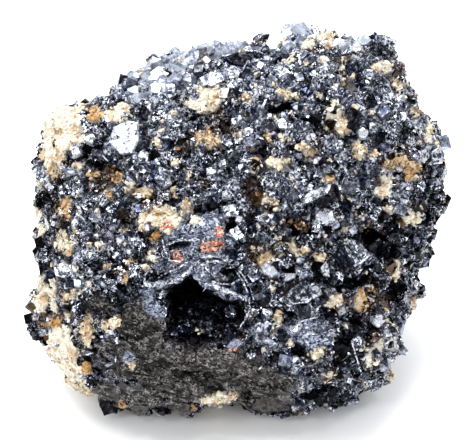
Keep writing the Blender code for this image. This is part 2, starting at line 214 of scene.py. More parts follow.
# Hollows and shadowed clefts, with dark grains: grains and stone are painted dark there as painted shade.
DARK_PATCHES = rows_of("""
beside the bright crystal: 113 129 11 2 -48
right hollow: 378 246 27 14 18
right hollow, low: 350 282 22 7 -18
right cleft: 396 292 14 10 -30
upper shelf: 282 107 21 5 -8
second shelf: 312 121 26 3 6
pocket over the lip: 231 228 8 7 20
pocket behind the lip: 231 272 9 7 0
smile pocket: 289 268 9 7 0
top red: 203 60 13 8 -10
top red, left: 167 75 9 5 0
left cluster: 92 147 13 7 0
left rim: 52 196 10 13 0
right of the rosette: 168 207 8 8 30
over the silver crystal: 209 208 33 3.4 -16
under the silver crystal: 180 244 14 4 -8
lower right: 343 350 11 18 8
lower right, foot: 328 393 16 9 0
lower middle: 298 350 8 8 20
beside the block: 119 306 3 20 0
under the bright crystal: 112 167 20 5 -5
lower left cluster: 41 340 16 13 10
foot cleft: 266 386 20 4 4
foot cleft, left: 246 394 5 7 -20
summit: 270 42 6 6 -20
summit, right: 295 43 4 6 0
middle: 262 152 8 7 0
middle, right: 298 148 8 7 0
right middle: 343 139 9 5 0
lens: 300 233 12 5 0
cavity foot: 200 337 32 4 3
cavity, right wall: 234 315 11 15 10
cavity, left corner: 173 305 5 22 0
left of the cavity: 160 277 10 4 -15
""")
# Grains stained brown.
BROWN_PATCHES = rows_of("""
right of the cavity: 258 249 15 9 0
lens: 292 224 15 7 0
right: 374 229 11 8 0
left: 104 183 14 11 0
upper hollow: 224 127 17 10 0
upper hollow, left: 184 146 12 9 0
left of the rosette: 126 218 8 5 0
under the rosette: 151 242 9 5 0
middle: 203 184 7 6 0
middle, right: 252 190 11 9 0
foot of the cavity: 238 335 9 6 0
foot: 144 402 12 8 0
top red: 203 60 14 8 -10
top: 345 72 9 10 0
right edge: 401 150 8 9 0
top red, left: 168 75 13 6 -10
top hollow: 268 43 7 6 0
right hollow, foot: 392 266 9 7 0
right hollow, low: 370 287 8 7 0
under the right ochre: 378 300 12 10 0
""")
# Lighter grains.
LIGHT_PATCHES = rows_of("""
left middle: 104 238 34 26 0
left, low: 82 280 28 14 0
right of the cavity: 264 340 20 18 0
right of the middle: 322 193 20 12 0
middle: 282 180 44 28 0
right: 384 180 36 30 0
top: 300 82 40 20 0
right edge: 388 350 12 28 0
middle left: 130 205 30 10 0
""")
# Broad crystal faces: tone from 0, black, to 1.2, white; lean to the right and upwards in degrees;
# and corners in pixels, clockwise from the left.
# The palest tones are partly painted highlights of faces that catch the light.
BRIGHT_FACES = outlines_of("""
bright crystal: 1.17 -4 14  109,141 113,127 127,120 138,122 139,140 133,152 120,153
left edge: 0.82 -25 5  30,168 36,163 47,166 47,176 41,186 36,180
left small: 1.05 0 16  82,134 91,131 97,137 92,143 84,140
left cluster pale: 1.05 -10 12  69,147 77,144 81,153 73,157
left cluster black: 0.05 8 -10  83,142 92,140 98,147 92,153 84,150
beside bright: 0.95 12 6  104,145 110,142 115,149 110,156 103,153
under bright pale: 0.95 0 14  136,154 143,149 150,153 147,162 139,163
under bright black: 0.02 14 -8  150,151 156,149 161,155 155,162 150,159
under bright grey: 0.75 10 4  119,160 127,157 132,166 126,173 118,168
left slate: 0.65 -8 8  59,186 68,184 72,192 65,198 58,194
left rim pale: 1.05 -18 8  44,186 51,179 56,186 50,194
left middle grey: 0.75 6 8  110,188 117,185 124,191 119,198 112,196
left slate, right: 0.6 10 -4  79,177 88,174 93,181 87,188 80,185
blue, middle left: 0.75 -6 10  152,171 159,165 168,170 165,180 155,181
pale, middle left: 1.1 6 14  162,176 169,174 172,183 164,187
over the silver crystal: 0.75 8 8  190,198 200,193 216,191 221,196 207,202 193,206
silver crystal, right: 0.98 10 14  222,206 234,203 241,208 238,216 226,216
top right, dark: 0.42 6 10  364,44 377,41 388,47 393,57 385,63 371,61 361,58
summit, left: 1 -6 20  264,44 272,31 283,28 293,31 292,42 283,49 270,50
summit, back: 1 6 24  296,27 306,23 318,24 321,31 312,36 299,36
top bar: 0.22 -4 12  222,57 236,52 250,51 262,53 262,63 245,66 226,64
top left grey: 0.75 -8 22  198,78 210,71 222,72 226,80 214,86 202,86
top left pale: 1 -4 22  146,74 158,66 168,67 170,74 158,80 148,81
shelf grey: 0.78 0 8  231,116 243,114 247,119 240,127 231,125
shelf white: 1.15 6 12  243,130 247,126 254,129 252,135 246,136
blue crystal: 0.7 4 10  287,123 298,118 310,122 311,129 298,133 288,130
blue crystal, pale: 1 -12 14  276,121 283,117 288,122 287,129 279,128
right white: 1.1 2 12  357,131 362,126 369,131 367,139 360,140
middle white: 0.95 4 14  305,136 314,132 319,138 309,144
corner matt: 0.5 8 6  346,64 358,60 362,71 356,80 348,76
upper pale blue: 0.88 4 16  270,66 281,61 292,66 289,75 276,76
middle blade: 0.98 -4 12  302,198 311,190 325,186 334,182 330,193 318,200 305,204
middle cluster: 1.12 8 10  316,212 323,207 333,210 335,221 326,226 317,221
big blue crystal: 0.84 6 13  340,243 352,238 362,243 371,255 362,263 352,268 342,262
big blue crystal, left: 0.28 -24 -4  334,262 340,244 343,262 352,268 341,276 334,273
tooth: 1.15 6 8  320,268 326,261 329,266 330,277 324,275
smile, left: 1.2 0 14  260,266 266,262 274,266 279,273 272,277 263,272
smile: 1.2 -2 14  276,273 283,275 290,275 296,273 295,278 287,281 279,279
smile, right: 1.18 2 14  296,263 300,262 305,270 301,276 296,275 295,268
grey block: 0.7 2 13  284,297 291,289 300,283 309,283 315,294 309,302 293,304
silver blade: 0.95 -8 10  287,332 296,322 305,318 303,327 294,334
violet: 0.92 8 2  299,376 306,375 309,382 305,390 299,388
right pale, low: 1.08 12 6  374,316 382,314 386,321 379,328 374,324
right rim pale: 1 22 4  389,345 396,340 400,347 396,355 390,353
lower white: 1.12 6 12  336,309 344,305 347,312 339,317
right edge pale: 0.95 24 10  432,152 439,147 446,153 443,163 434,164
right edge white: 1.1 22 10  419,152 427,148 431,156 425,163 419,160
right edge, top: 0.9 26 12  402,88 409,84 416,90 415,99 405,99
right edge, low: 0.65 26 0  416,254 424,250 431,256 430,267 419,269
left foot blue: 0.95 -20 -4  36,328 43,323 50,328 48,336 39,337
lilac, middle: 0.88 2 12  284,170 292,167 299,170 298,178 288,180
slate, middle right: 0.72 4 8  322,165 329,160 336,165 332,172 324,173
white, middle: 1.05 0 14  206,168 213,166 217,171 212,176 206,175
violet, middle: 0.7 -4 8  210,186 217,182 224,187 220,194 212,194
pale, middle: 0.92 4 12  222,191 229,189 234,194 228,199 222,198
middle wedge: 0.74 -8 8  263,188 270,186 276,194 268,197
middle wedge, right: 0.72 6 8  281,187 288,184 294,190 289,197 282,195
under the ochre: 1 0 12  257,216 264,213 269,218 264,222 258,221
violet, dark: 0.3 6 0  338,201 347,198 354,204 350,212 341,213
lower right grey: 0.68 6 4  371,352 377,348 382,354 378,359 372,358
lower slate: 0.45 6 4  348,327 356,324 364,329 361,337 351,337
pale streak: 0.97 4 10  318,289 328,285 336,288 338,295 326,297
beside the bar: 1 2 16  226,68 234,65 241,69 238,78 229,79
ridge lump: 1.05 0 18  150,84 156,81 162,86 159,94 152,93
ridge lump, right: 1 2 18  164,85 171,82 178,86 174,92 166,92
ridge foot, dark: 0.3 -14 10  121,88 128,84 136,88 134,96 124,97
beside the top cream: 1 0 14  186,86 193,82 199,86 196,93 188,93
left rim, blue: 0.3 -12 4  44,205 51,201 57,207 54,215 46,214
left lump: 0.98 -8 10  53,266 62,262 72,265 75,273 64,278 55,275
left pale, right: 0.92 -4 10  81,250 89,247 95,252 90,258 82,257
left slab: 0.62 2 4  100,214 110,211 118,215 117,225 106,227
left rim, dark: 0.25 -22 0  37,262 43,257 50,262 49,275 40,277
cavity blue: 0.5 -6 12  224,307 232,303 240,308 239,318 231,321 224,316
cavity blue, low: 0.46 -6 10  225,324 232,321 238,325 235,333 227,332
cavity blue, left: 0.44 6 12  205,323 212,319 217,325 213,332 206,331
left foot grey: 0.55 -22 -8  26,338 34,334 38,343 33,351 26,348
""", 3)
MATT_FACES = outlines_of("""
foot block: 0.55 2 -12  249,400 256,392 268,390 287,393 294,399 292,411 262,413 252,409
foot block, left: 0.35 -8 -14  130,404 139,400 149,405 147,413 138,417 131,412
foot block, middle: 0.4 0 -16  171,404 181,400 191,405 189,413 181,417 173,412
corner: 0.4 8 8  346,83 352,81 357,88 352,94 347,91
""", 3)
# Bright lips, ribs and needles: width in pixels, height over the stone in pixels, and places.
BRIGHT_RIBS = outlines_of("""
left lip: 5.4 6  144,283 152,285 164,283 176,280 184,275 190,270
left lip, rib: 2 5  145,284 144,276 150,268 158,262
left rib, middle: 1.6 5  158,278 168,272 178,268 188,262
peak: 3.6 6  189,270 194,264 200,262 206,266 210,272
right lip: 4.6 6  204,284 211,283 220,288 230,292 239,296 247,301
right lip, edge: 1.8 7  212,281 222,284 232,284 240,279
arch: 1.8 6  205,262 216,261 226,264 236,271 243,281 248,293
arch, second: 1.3 6  220,258 232,264 242,274 250,287 254,300
right wall: 1.6 5  249,297 250,308 245,320 238,330
pocket rib: 1.6 5  224,233 231,236 239,238
ridge over: 2.2 5  166,245 178,240 190,240 200,240
ridge over, right: 2 5  196,256 208,257 220,257
ridge, left: 1.8 5  162,238 165,250 170,260 182,262
smile, rim: 2.4 7  266,263 273,260 281,260
needle, left: 1.3 8  101,154 107,160 113,165
needle, short: 1.2 8  98,158 102,153
needle, middle: 1.3 8  160,168 166,174 171,178
needle, bar: 1.8 7  218,58 230,55 244,53
bar, rim: 1.5 7  246,51 256,51 264,54
top needle: 1.3 7  240,74 244,68 247,62
silver rib, low: 1.8 5  290,329 299,322 308,319 318,317
right hollow rib: 1.8 5  342,270 352,266 362,260 370,252
right blade: 2 5  369,268 374,273 379,277
rib, right low: 1.4 6  352,342 356,356 361,372
left blade: 3 5  112,288 117,282 121,277
""", 2)

# For each kind of patch: its cover where it begins and where it is whole.
PATCH_EDGES = {
    "massive": (MASSIVE_PATCHES, -0.10, 0.18),
    "silver": (SILVER_PATCHES, -0.15, 0.15),
    "dark": (DARK_PATCHES, -0.10, 0.25),
    "brown": (BROWN_PATCHES, -0.15, 0.25),
    "pale": (PALE_PATCHES, -0.15, 0.15),
    "light": (LIGHT_PATCHES, -0.15, 0.35),
    "rust": (RUST_PATCHES, 0.0, 0.15),
}
# The noises that vary the ground: size in millimetres and seed.
NOISES = {
    "patch edge": (2.4, 53), "calcite edge": (1.6, 31), "crumbs": (1.4, 43), "tint": (1.2, 71),
    "margin": (3.0, 83), "calcite behind": (9.0, 7), "calcite behind, fine": (2.2, 17),
    "massive behind": (14.0, 61), "dark behind": (7.0, 91), "pale behind": (11.0, 171),
    "crumble": (0.9, 151), "massive relief": (1.5, 181), "streaks": (0.7, 161),
}
PATCH_RAGGED, CALCITE_RAGGED = 0.30, 0.60    # how ragged the patches' edges are
# The heights in millimetres between which the stone is painted lighter, in front and behind: a painted
# highlight on the top, where the light falls.
LIGHT_FRONT, LIGHT_BACK = (30.0, 50.0), (35.0, 55.0)
CRUMB_LIMIT = 0.385                  # noise over this is a crumb of calcite between the crystals
MIDDLE_TINT = 0.5                    # the tint of those crumbs
FACE_LIFT = 0.75 * MM                # how far a broad face stands out
# The block under a face: its width and its depth at the face, at the bevel's foot and in the stone.
FACE_RINGS = ((0.88, 0.0), (1.0, 0.22 * MM), (1.14, 2.6 * MM))
FACE_GRAINY, RIB_GRAINY = 0.28, 0.40    # how finely broken the faces and the ribs are
# Ribs are painted pale, partly a painted highlight along their lit lips and needles.
RIB_TONE = 0.96
RIB_FOOT = 0.6 * MM                  # how deep a rib stands in the stone
RIB_STEP = 2.2                       # pixels between a rib's points
RIB_MARGIN = 0.8                     # pixels beside a rib where nothing grows
RIB_TOP = [(-1.0, 0.0), (-0.35, 0.8), (0.4, 0.7), (1.0, 0.0)]    # its section, in half widths
PIXEL = 0.16 * MM                    # a pixel's size on the stone

# The cavity in the face frame, in millimetres: the outline of its mouth, its depth, how far it has
# shifted at that depth, and how far out its mouth lies.
CAVITY_MOUTH = [
    (-11.1, -17.9), (-11.5, -11.2), (-8.6, -9.3), (-7.4, -7.0), (-5.8, -8.9),
    (-2.6, -10.3), (0.9, -12.4), (0.5, -15.6), (-1.5, -18.2),
]
CAVITY_DEPTH = 11.0
CAVITY_SHIFT = (-0.6, 7.6)
MOUTH_OUT = 19.1
CAVITY_REACH = (0.06, 1.12)          # where its walls begin and end, in depths
CAVITY_FLOOR = 303                   # crystals grow in it only under this line of pixels


def smooth_step(low, high, value):
    """0 up to low, 1 from high on, and a smooth rise between them."""
    share = np.clip((value - low) / (high - low), 0.0, 1.0)
    return share * share * (3.0 - 2.0 * share)


def hashed(cells, seed):
    """A repeatable random number from 0 to 1 for each row of three whole numbers."""
    mask = 0xFFFFFFFF
    n = (cells[..., 0] * 73856093) ^ (cells[..., 1] * 19349663) ^ (cells[..., 2] * 83492791)
    n = (n ^ (seed * 2654435761)) & mask
    for _ in range(2):
        n = ((n ^ (n >> 16)) * 0x45D9F3B) & mask
    return (n ^ (n >> 16)) / (mask + 1.0)


def hashed_vector(cells, seed):
    """Three such numbers for each row."""
    return np.stack([hashed(cells, seed + k) for k in range(3)], axis=1)


def lattice_noise(points, size, seed):
    """Smooth noise from -1 to 1 with swells about size apart."""
    scaled = points / size
    cell = np.floor(scaled).astype(np.int64)
    part = scaled - cell
    part = part * part * (3.0 - 2.0 * part)
    total = np.zeros(len(points))
    for corner in itertools.product((0, 1), repeat=3):
        share = np.prod(np.where(np.array(corner) == 1, part, 1.0 - part), axis=1)
        total += share * hashed(cell + np.array(corner), seed)
    return 2.0 * total - 1.0


def rough_noise(points, name):
    """One of the noises, with finer and finer swells, about from -1 to 1."""
    millimetres, seed = NOISES[name]
    total, height = np.zeros(len(points)), 0.6
    for octave in range(3):
        total += height * lattice_noise(points, millimetres * MM / 2 ** octave, seed + octave)
        height *= 0.55
    return total


def grains_at(points, size, seed):
    """For each point the grain that it lies in, as whole numbers, and its offset from its middle."""
    scaled = points / size
    cell = np.floor(scaled).astype(np.int64)
    least = np.full(len(points), np.inf)
    grain, away = np.zeros_like(cell), np.zeros_like(scaled)
    for step in itertools.product((-1, 0, 1), repeat=3):
        near = cell + np.array(step)
        gap = scaled - (near + hashed_vector(near, seed))
        distance = (gap * gap).sum(axis=1)
        closer = distance < least
        least[closer] = distance[closer]
        grain[closer], away[closer] = near[closer], gap[closer]
    return grain, away * size


# The camera

def face_axes():
    """The leaning front's directions: right, up the front, and out of it."""
    lean = math.radians(FRONT_LEAN)
    right = Vector((1.0, 0.0, 0.0))
    up = Vector((0.0, math.sin(lean), math.cos(lean)))
    out = Vector((0.0, -math.cos(lean), math.sin(lean)))
    return right, up, out


RIGHT, UP, OUT = face_axes()
AIM = Vector(AIM_MM) * MM
FACE_CENTRE = np.array(FACE_CENTRE_MM) * MM
CAMERA_PLACE = AIM + OUT * CAMERA_MM * MM
PIXEL_SLOPE = SENSOR_MM / FOCAL_MM / PHOTO_WIDE
# The streaks of the massive stone run down to the right, those of the silvery faces up.
MASSIVE_STREAKS = RIGHT * 0.94 - UP * 0.34
SILVER_STREAKS = RIGHT * 0.94 + UP * 0.34


def linked(name, data):
    """A new object in the scene."""
    obj = bpy.data.objects.new(name, data)
    bpy.context.scene.collection.objects.link(obj)
    return obj


def aimed(name, data, place, backwards):
    """A new camera or light at a place, looking away from a direction."""
    obj = linked(name, data)
    obj.location = place
    obj.rotation_mode = "QUATERNION"
    obj.rotation_quaternion = backwards.to_track_quat("Z", "Y")
    return obj


def make_camera():
    data = bpy.data.cameras.new("camera")
    data.lens, data.sensor_width = FOCAL_MM, SENSOR_MM
    data.clip_start, data.clip_end = 0.01, 20.0
    bpy.context.scene.camera = aimed("camera", data, CAMERA_PLACE, OUT)


def pixels_of(points):
    """The photograph's pixel for each point in space."""
    away = points - np.array(CAMERA_PLACE)
    depth = -(away @ np.array(OUT))
    x = PHOTO_WIDE / 2 + (away @ np.array(RIGHT)) / depth / PIXEL_SLOPE
    y = PHOTO_HIGH / 2 - (away @ np.array(UP)) / depth / PIXEL_SLOPE
    return x, y


def ray_through(x, y):
    """The direction in which the camera sees a pixel."""
    across = (x - PHOTO_WIDE / 2) * PIXEL_SLOPE
    upwards = (PHOTO_HIGH / 2 - y) * PIXEL_SLOPE
    return (RIGHT * across + UP * upwards - OUT).normalized()


# What grows where

def front_share(points, low=-10.0, high=-5.0):
    """1 on the front that the photograph shows and just round its rim, 0 on the other sides."""
    return smooth_step(low * MM, high * MM, (points - FACE_CENTRE) @ np.array(OUT))


def patches_cover(points, patches, ragged):
    """How far each point is inside the patches, over 0 inside, and which patch gives that cover."""
    x, y = pixels_of(points)
    best, which = np.full(len(points), -9.0), np.zeros(len(points), int)
    for number, (centre_x, centre_y, half_x, half_y, turn, *_) in enumerate(patches):
        cosine, sine = math.cos(math.radians(turn)), math.sin(math.radians(turn))
        across = (x - centre_x) * cosine + (y - centre_y) * sine
        down = (y - centre_y) * cosine - (x - centre_x) * sine
        cover = 1.0 - np.hypot(across / half_x, down / half_y)
        which = np.where(cover > best, number, which)
        best = np.maximum(best, cover)
    return best + ragged, which


def inside_outline(u, v, outline):
    """Whether each point lies within the outline."""
    inside = np.zeros(len(u), bool)
    for (u0, v0), (u1, v1) in zip(outline, outline[1:] + outline[:1]):
        between = (v0 > v) != (v1 > v)
        rise = (v1 - v0) if v1 != v0 else 1.0
        inside ^= between & (u < u0 + (v - v0) / rise * (u1 - u0))
    return inside


def under_faces(points):
    """1 where a broad face or a rib lies over the front, so that nothing else grows there."""
    x, y = pixels_of(points)
    covered = np.zeros(len(points), bool)
    for *_, corners in BRIGHT_FACES + MATT_FACES:
        covered |= inside_outline(x, y, corners)
    for width, _, places in BRIGHT_RIBS:
        for (x0, y0), (x1, y1) in zip(places, places[1:]):
            span_x, span_y = x1 - x0, y1 - y0
            share = ((x - x0) * span_x + (y - y0) * span_y) / (span_x * span_x + span_y * span_y)
            share = np.clip(share, 0.0, 1.0)
            beside = np.hypot(x - x0 - share * span_x, y - y0 - share * span_y)
            covered |= beside < 0.5 * width + RIB_MARGIN
    return covered * front_share(points)


def in_cavity(points):
    """1 on the walls and the end of the cavity, which goes level into the stone, and 0 elsewhere."""
    face = (points / MM - np.array(FACE_CENTRE_MM)) @ np.array([RIGHT, UP, OUT]).T
    step = (MOUTH_OUT - face[:, 2]) / CAVITY_DEPTH
    u = face[:, 0] - CAVITY_SHIFT[0] * step
    v = face[:, 1] - CAVITY_SHIFT[1] * step
    within = (step > CAVITY_REACH[0]) & (step < CAVITY_REACH[1])
    return (inside_outline(u, v, CAVITY_MOUTH) & within).astype(float)


def ground_at(points):
    """What the stone is at each point: the share of each kind, the calcite's tint and the light."""
    front = front_share(points)
    back = 1.0 - front
    soft = PATCH_RAGGED * rough_noise(points, "patch edge")
    seen = {}
    for kind, (patches, low, high) in PATCH_EDGES.items():
        seen[kind] = smooth_step(low, high, patches_cover(points, patches, soft)[0])
    silver, dark = front * seen["silver"], front * seen["dark"]

    cavity = in_cavity(points)
    ragged = CALCITE_RAGGED * rough_noise(points, "calcite edge")
    cover, which = patches_cover(points, CALCITE_PATCHES, ragged)
    crumbs = rough_noise(points, "crumbs") - CRUMB_LIMIT - seen["massive"] - silver - dark
    behind = rough_noise(points, "calcite behind") + 0.35 * rough_noise(points, "calcite behind, fine")
    calcite_front = smooth_step(-0.04, 0.08, np.maximum(cover, crumbs))
    calcite = front * calcite_front + back * smooth_step(0.20, 0.30, behind)
    calcite = calcite * (1.0 - cavity)
    tints = np.array([patch[-1] for patch in CALCITE_PATCHES])[which]
    tint_behind = 0.45 + 0.5 * lattice_noise(points, 12.0 * MM, 23)
    tint = np.where(cover > crumbs, tints, MIDDLE_TINT) * front + tint_behind * back

    massive = smooth_step(0.25, 0.45, rough_noise(points, "massive behind"))
    pale = 0.7 * smooth_step(0.38, 0.55, rough_noise(points, "pale behind"))
    margin = smooth_step(-0.75, -0.20, cover) * smooth_step(-0.25, 0.15, rough_noise(points, "margin"))
    brown_front = np.maximum(0.7 * margin, seen["brown"])
    brown = front * brown_front + back * smooth_step(0.10, 0.20, behind)
    height = points[:, 2] / MM
    light = np.maximum(smooth_step(*LIGHT_FRONT, height), 1.1 * seen["light"])
    bare = 1.0 - calcite
    return {
        # Painted light: lighter towards the top, where the light falls, and in the patches of lighter
        # grains.
        "bright": front * light + back * smooth_step(*LIGHT_BACK, height),
        "cavity": cavity,
        "calcite": calcite,
        "brown": np.clip(0.75 * brown * bare, 0.0, 1.0),
        "tint": np.clip(tint + 0.16 * rough_noise(points, "tint"), 0.0, 1.0),
        "massive": (front * seen["massive"] + back * massive) * bare,
        "silver": silver * bare,
        # Painted shade in the hollows and clefts in front; random darker patches behind.
        "dark": (dark + back * smooth_step(0.30, 0.50, rough_noise(points, "dark behind"))) * bare,
        # Painted highlight of the lit top in front; random pale patches behind.
        "pale": (front * seen["pale"] + back * pale) * bare,
        "rust": front * seen["rust"] * (1.0 - cavity),
    }


# The stone's own surface

FRONT_EDGE, HIDDEN_EDGE = 0.64 * MM, 1.30 * MM    # the longest edges, in front and behind
GRAIN_SIZE = 1.3 * MM
GRAIN_SLOPE = 0.34
GRAIN_STEP = 0.22 * MM
GRAIN_SEED, FINE_GRAIN_SEED = 101, 131
CLEFT_DEPTH = 0.85 * MM
CRUMBLE_ROUGH, CRUMBLE_RISE = 0.48 * MM, 0.42 * MM    # how the calcite is broken, and swells
STREAK_RELIEF, LUMP_RELIEF = 0.36, 0.34    # of the massive stone, in millimetres
FLAT_BASE = 0.05 * MM                # the resting face stays flat up to this height


def split_once(points, triangles):
    """Halves the edges that are too long, and says whether there were any."""
    edges = np.sort(np.stack([triangles, np.roll(triangles, -1, axis=1)], axis=2), axis=2)
    single, number = np.unique(edges.reshape(-1, 2), axis=0, return_inverse=True)
    length = np.linalg.norm(points[single[:, 0]] - points[single[:, 1]], axis=1)
    front = front_share(points[single].mean(axis=1), 1.0, 5.0)
    long = length > HIDDEN_EDGE + (FRONT_EDGE - HIDDEN_EDGE) * front
    middle = np.full(len(single), -1)
    middle[long] = len(points) + np.arange(long.sum())
    points = np.concatenate([points, points[single[long]].mean(axis=1)])
    halves = middle[number.reshape(-1, 3)]
    many = (halves >= 0).sum(axis=1)
    parts = [triangles[many == 0]]
    for turn in range(3):
        a, b, c = np.roll(triangles, -turn, axis=1).T
        ab, bc, ca = np.roll(halves, -turn, axis=1).T
        one = (many == 1) & (ab >= 0)
        parts += [np.stack([a, ab, c], axis=1)[one], np.stack([ab, b, c], axis=1)[one]]
        two = (many == 2) & (ab < 0)
        parts.append(np.stack([c, ca, bc], axis=1)[two])
        parts += [np.stack([a, b, bc], axis=1)[two], np.stack([a, bc, ca], axis=1)[two]]
    three = many == 3
    a, b, c = triangles[three].T
    ab, bc, ca = halves[three].T
    for corners in ((a, ab, ca), (ab, b, bc), (ca, bc, c), (ab, bc, ca)):
        parts.append(np.stack(corners, axis=1))
    return points, np.concatenate(parts), long.any()


def refined_solid():
    """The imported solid's mesh, welded and with its long edges split."""
    bm = bmesh.new()
    bm.from_mesh(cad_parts[NODE].data)
    bmesh.ops.remove_doubles(bm, verts=bm.verts, dist=1e-6)
    bmesh.ops.triangulate(bm, faces=bm.faces)
    bm.verts.index_update()
    points = np.array([vertex.co[:] for vertex in bm.verts])
    triangles = np.array([[vertex.index for vertex in face.verts] for face in bm.faces])
    bm.free()
    unfinished = True
    while unfinished:
        points, triangles, unfinished = split_once(points, triangles)
    mesh = bpy.data.meshes.new("stone")
    mesh.from_pydata(points.tolist(), [], triangles.tolist())
    mesh.update()
    return mesh


def vertex_values(mesh, name):
    """The place, co, or the direction, normal, of each vertex of a mesh."""
    values = np.zeros(len(mesh.vertices) * 3)
    mesh.vertices.foreach_get(name, values)
    return values.reshape(-1, 3)


def unit(vectors):
    return vectors / np.maximum(np.linalg.norm(vectors, axis=1, keepdims=True), 1e-12)


def grain_lean(points, size, seed):
    """The grain of each point, and how far its own lean lifts the point."""
    grain, away = grains_at(points, size, seed)
    return grain, (away * (hashed_vector(grain, seed + 10) - 0.5)).sum(axis=1)


def streaks_at(points):
    """Fine grooves that run from the upper left to the lower right of the massive stone."""
    along = np.array(MASSIVE_STREAKS)
    return rough_noise(points - 0.86 * (points @ along)[:, None] * along, "streaks")


def break_surface(mesh):
    """Breaks the surface into small tilted grain faces, and returns what the stone is where."""
    points = vertex_values(mesh, "co")
    outwards = unit(0.6 * vertex_values(mesh, "normal") + 0.4 * unit(points - FACE_CENTRE))
    ground = ground_at(points)
    grain, lean = grain_lean(points, GRAIN_SIZE, GRAIN_SEED)
    height = GRAIN_SLOPE * 2.0 * lean + GRAIN_STEP * (hashed(grain, GRAIN_SEED + 20) - 0.5)
    height += 0.7 * GRAIN_SLOPE * grain_lean(points, 0.5 * GRAIN_SIZE, FINE_GRAIN_SEED)[1]
    height *= np.clip(1.0 - 0.70 * ground["massive"] - 0.25 * ground["silver"], 0.3, 1.0)
    crumble = CRUMBLE_ROUGH * rough_noise(points, "crumble") + CRUMBLE_RISE
    height = height * (1.0 - 0.6 * ground["calcite"]) + crumble * ground["calcite"]
    relief = STREAK_RELIEF * streaks_at(points) + LUMP_RELIEF * rough_noise(points, "massive relief")
    height += relief * MM * ground["massive"]
    height -= CLEFT_DEPTH * ground["dark"]
    height[points[:, 2] < FLAT_BASE] = 0.0
    moved = points + outwards * height[:, None]
    moved[:, 2] = np.maximum(moved[:, 2], 0.0)
    mesh.vertices.foreach_set("co", moved.ravel())
    mesh.update()
    return ground_at(moved)


def set_attributes(mesh, values):
    for name, value in values.items():
        attribute = mesh.attributes.new(name, "FLOAT", "POINT")
        attribute.data.foreach_set("value", np.asarray(value, np.float32))


# Crystals and crumbs as joined meshes

def template(points):
    """A convex shape around the points, as vertices and faces with flat sides kept whole."""
    bm = bmesh.new()
    for point in points:
        bm.verts.new(point)
    bmesh.ops.convex_hull(bm, input=bm.verts)
    bmesh.ops.dissolve_limit(bm, angle_limit=0.02, verts=bm.verts, edges=bm.edges)
    bmesh.ops.recalc_face_normals(bm, faces=bm.faces)
    loose = [vertex for vertex in bm.verts if not vertex.link_faces]
    bmesh.ops.delete(bm, geom=loose, context="VERTS")
    bm.verts.index_update()
    vertices = np.array([vertex.co[:] for vertex in bm.verts])
    faces = [[vertex.index for vertex in face.verts] for face in bm.faces]
    bm.free()
    return vertices, faces


def cut_corners(cut):
    """The corners of a cube from -1 to 1 whose corners are cut off by that share of a half edge."""
    corners = set()
    for axis in range(3):
        for signs in itertools.product((-1.0, 1.0), repeat=3):
            corner = list(signs)
            corner[axis] *= 1.0 - cut
            corners.add(tuple(corner))
    return sorted(corners)


def chip_corners(random, count=9):
    """The corners of an uneven broken chip."""
    return unit(random.normal(size=(count, 3))) * random.uniform(0.75, 1.1, size=(count, 1))


def lump_corners(random):
    """The corners of a rounded lump: an icosahedron, shaken."""
    golden = (1.0 + math.sqrt(5.0)) / 2.0
    corners = []
    for a, b in itertools.product((-1.0, 1.0), (-golden, golden)):
        corners += [(0.0, a, b), (a, b, 0.0), (b, 0.0, a)]
    corners = np.array(corners) / math.hypot(1.0, golden)
    return corners * random.uniform(0.7, 1.15, size=(len(corners), 1))


CUBE = list(itertools.product((-1.0, 1.0), repeat=3))
OCTAHEDRON = [
    tuple(sign if i == axis else 0.0 for i in range(3)) for axis in range(3) for sign in (-1.1, 1.1)
]


def random_turns(random, count):
    """Rotation matrices that turn any way with equal chance."""
    q = unit(random.normal(size=(count, 4)))
    w, x, y, z = q.T
    return np.stack([
        1 - 2 * (y * y + z * z), 2 * (x * y - z * w), 2 * (x * z + y * w),
        2 * (x * y + z * w), 1 - 2 * (x * x + z * z), 2 * (y * z - x * w),
        2 * (x * z - y * w), 2 * (y * z + x * w), 1 - 2 * (x * x + y * y),
    ], axis=1).reshape(count, 3, 3)


def small_turns(random, count, spread):
    """Rotation matrices that turn by about spread radians about any axis."""
    vectors = random.normal(scale=spread, size=(count, 3))
    angle = np.maximum(np.linalg.norm(vectors, axis=1), 1e-9)
    x, y, z = (vectors / angle[:, None]).T
    zero = np.zeros(count)
    cross = np.stack([zero, -z, y, z, zero, -x, -y, x, zero], axis=1).reshape(count, 3, 3)
    sine, cosine = np.sin(angle)[:, None, None], np.cos(angle)[:, None, None]
    return np.eye(3) + sine * cross + (1.0 - cosine) * (cross @ cross)


def grain_sizes(random, count, typical, spread, uneven, largest=np.inf):
    """Edges about the typical one, in metres, and each grain's half sizes, unevenly long and wide."""
    edge = np.minimum(typical * MM * np.exp(random.normal(scale=spread, size=count)), largest)
    return edge, 0.5 * edge[:, None] * random.uniform(*uneven, size=(count, 3))


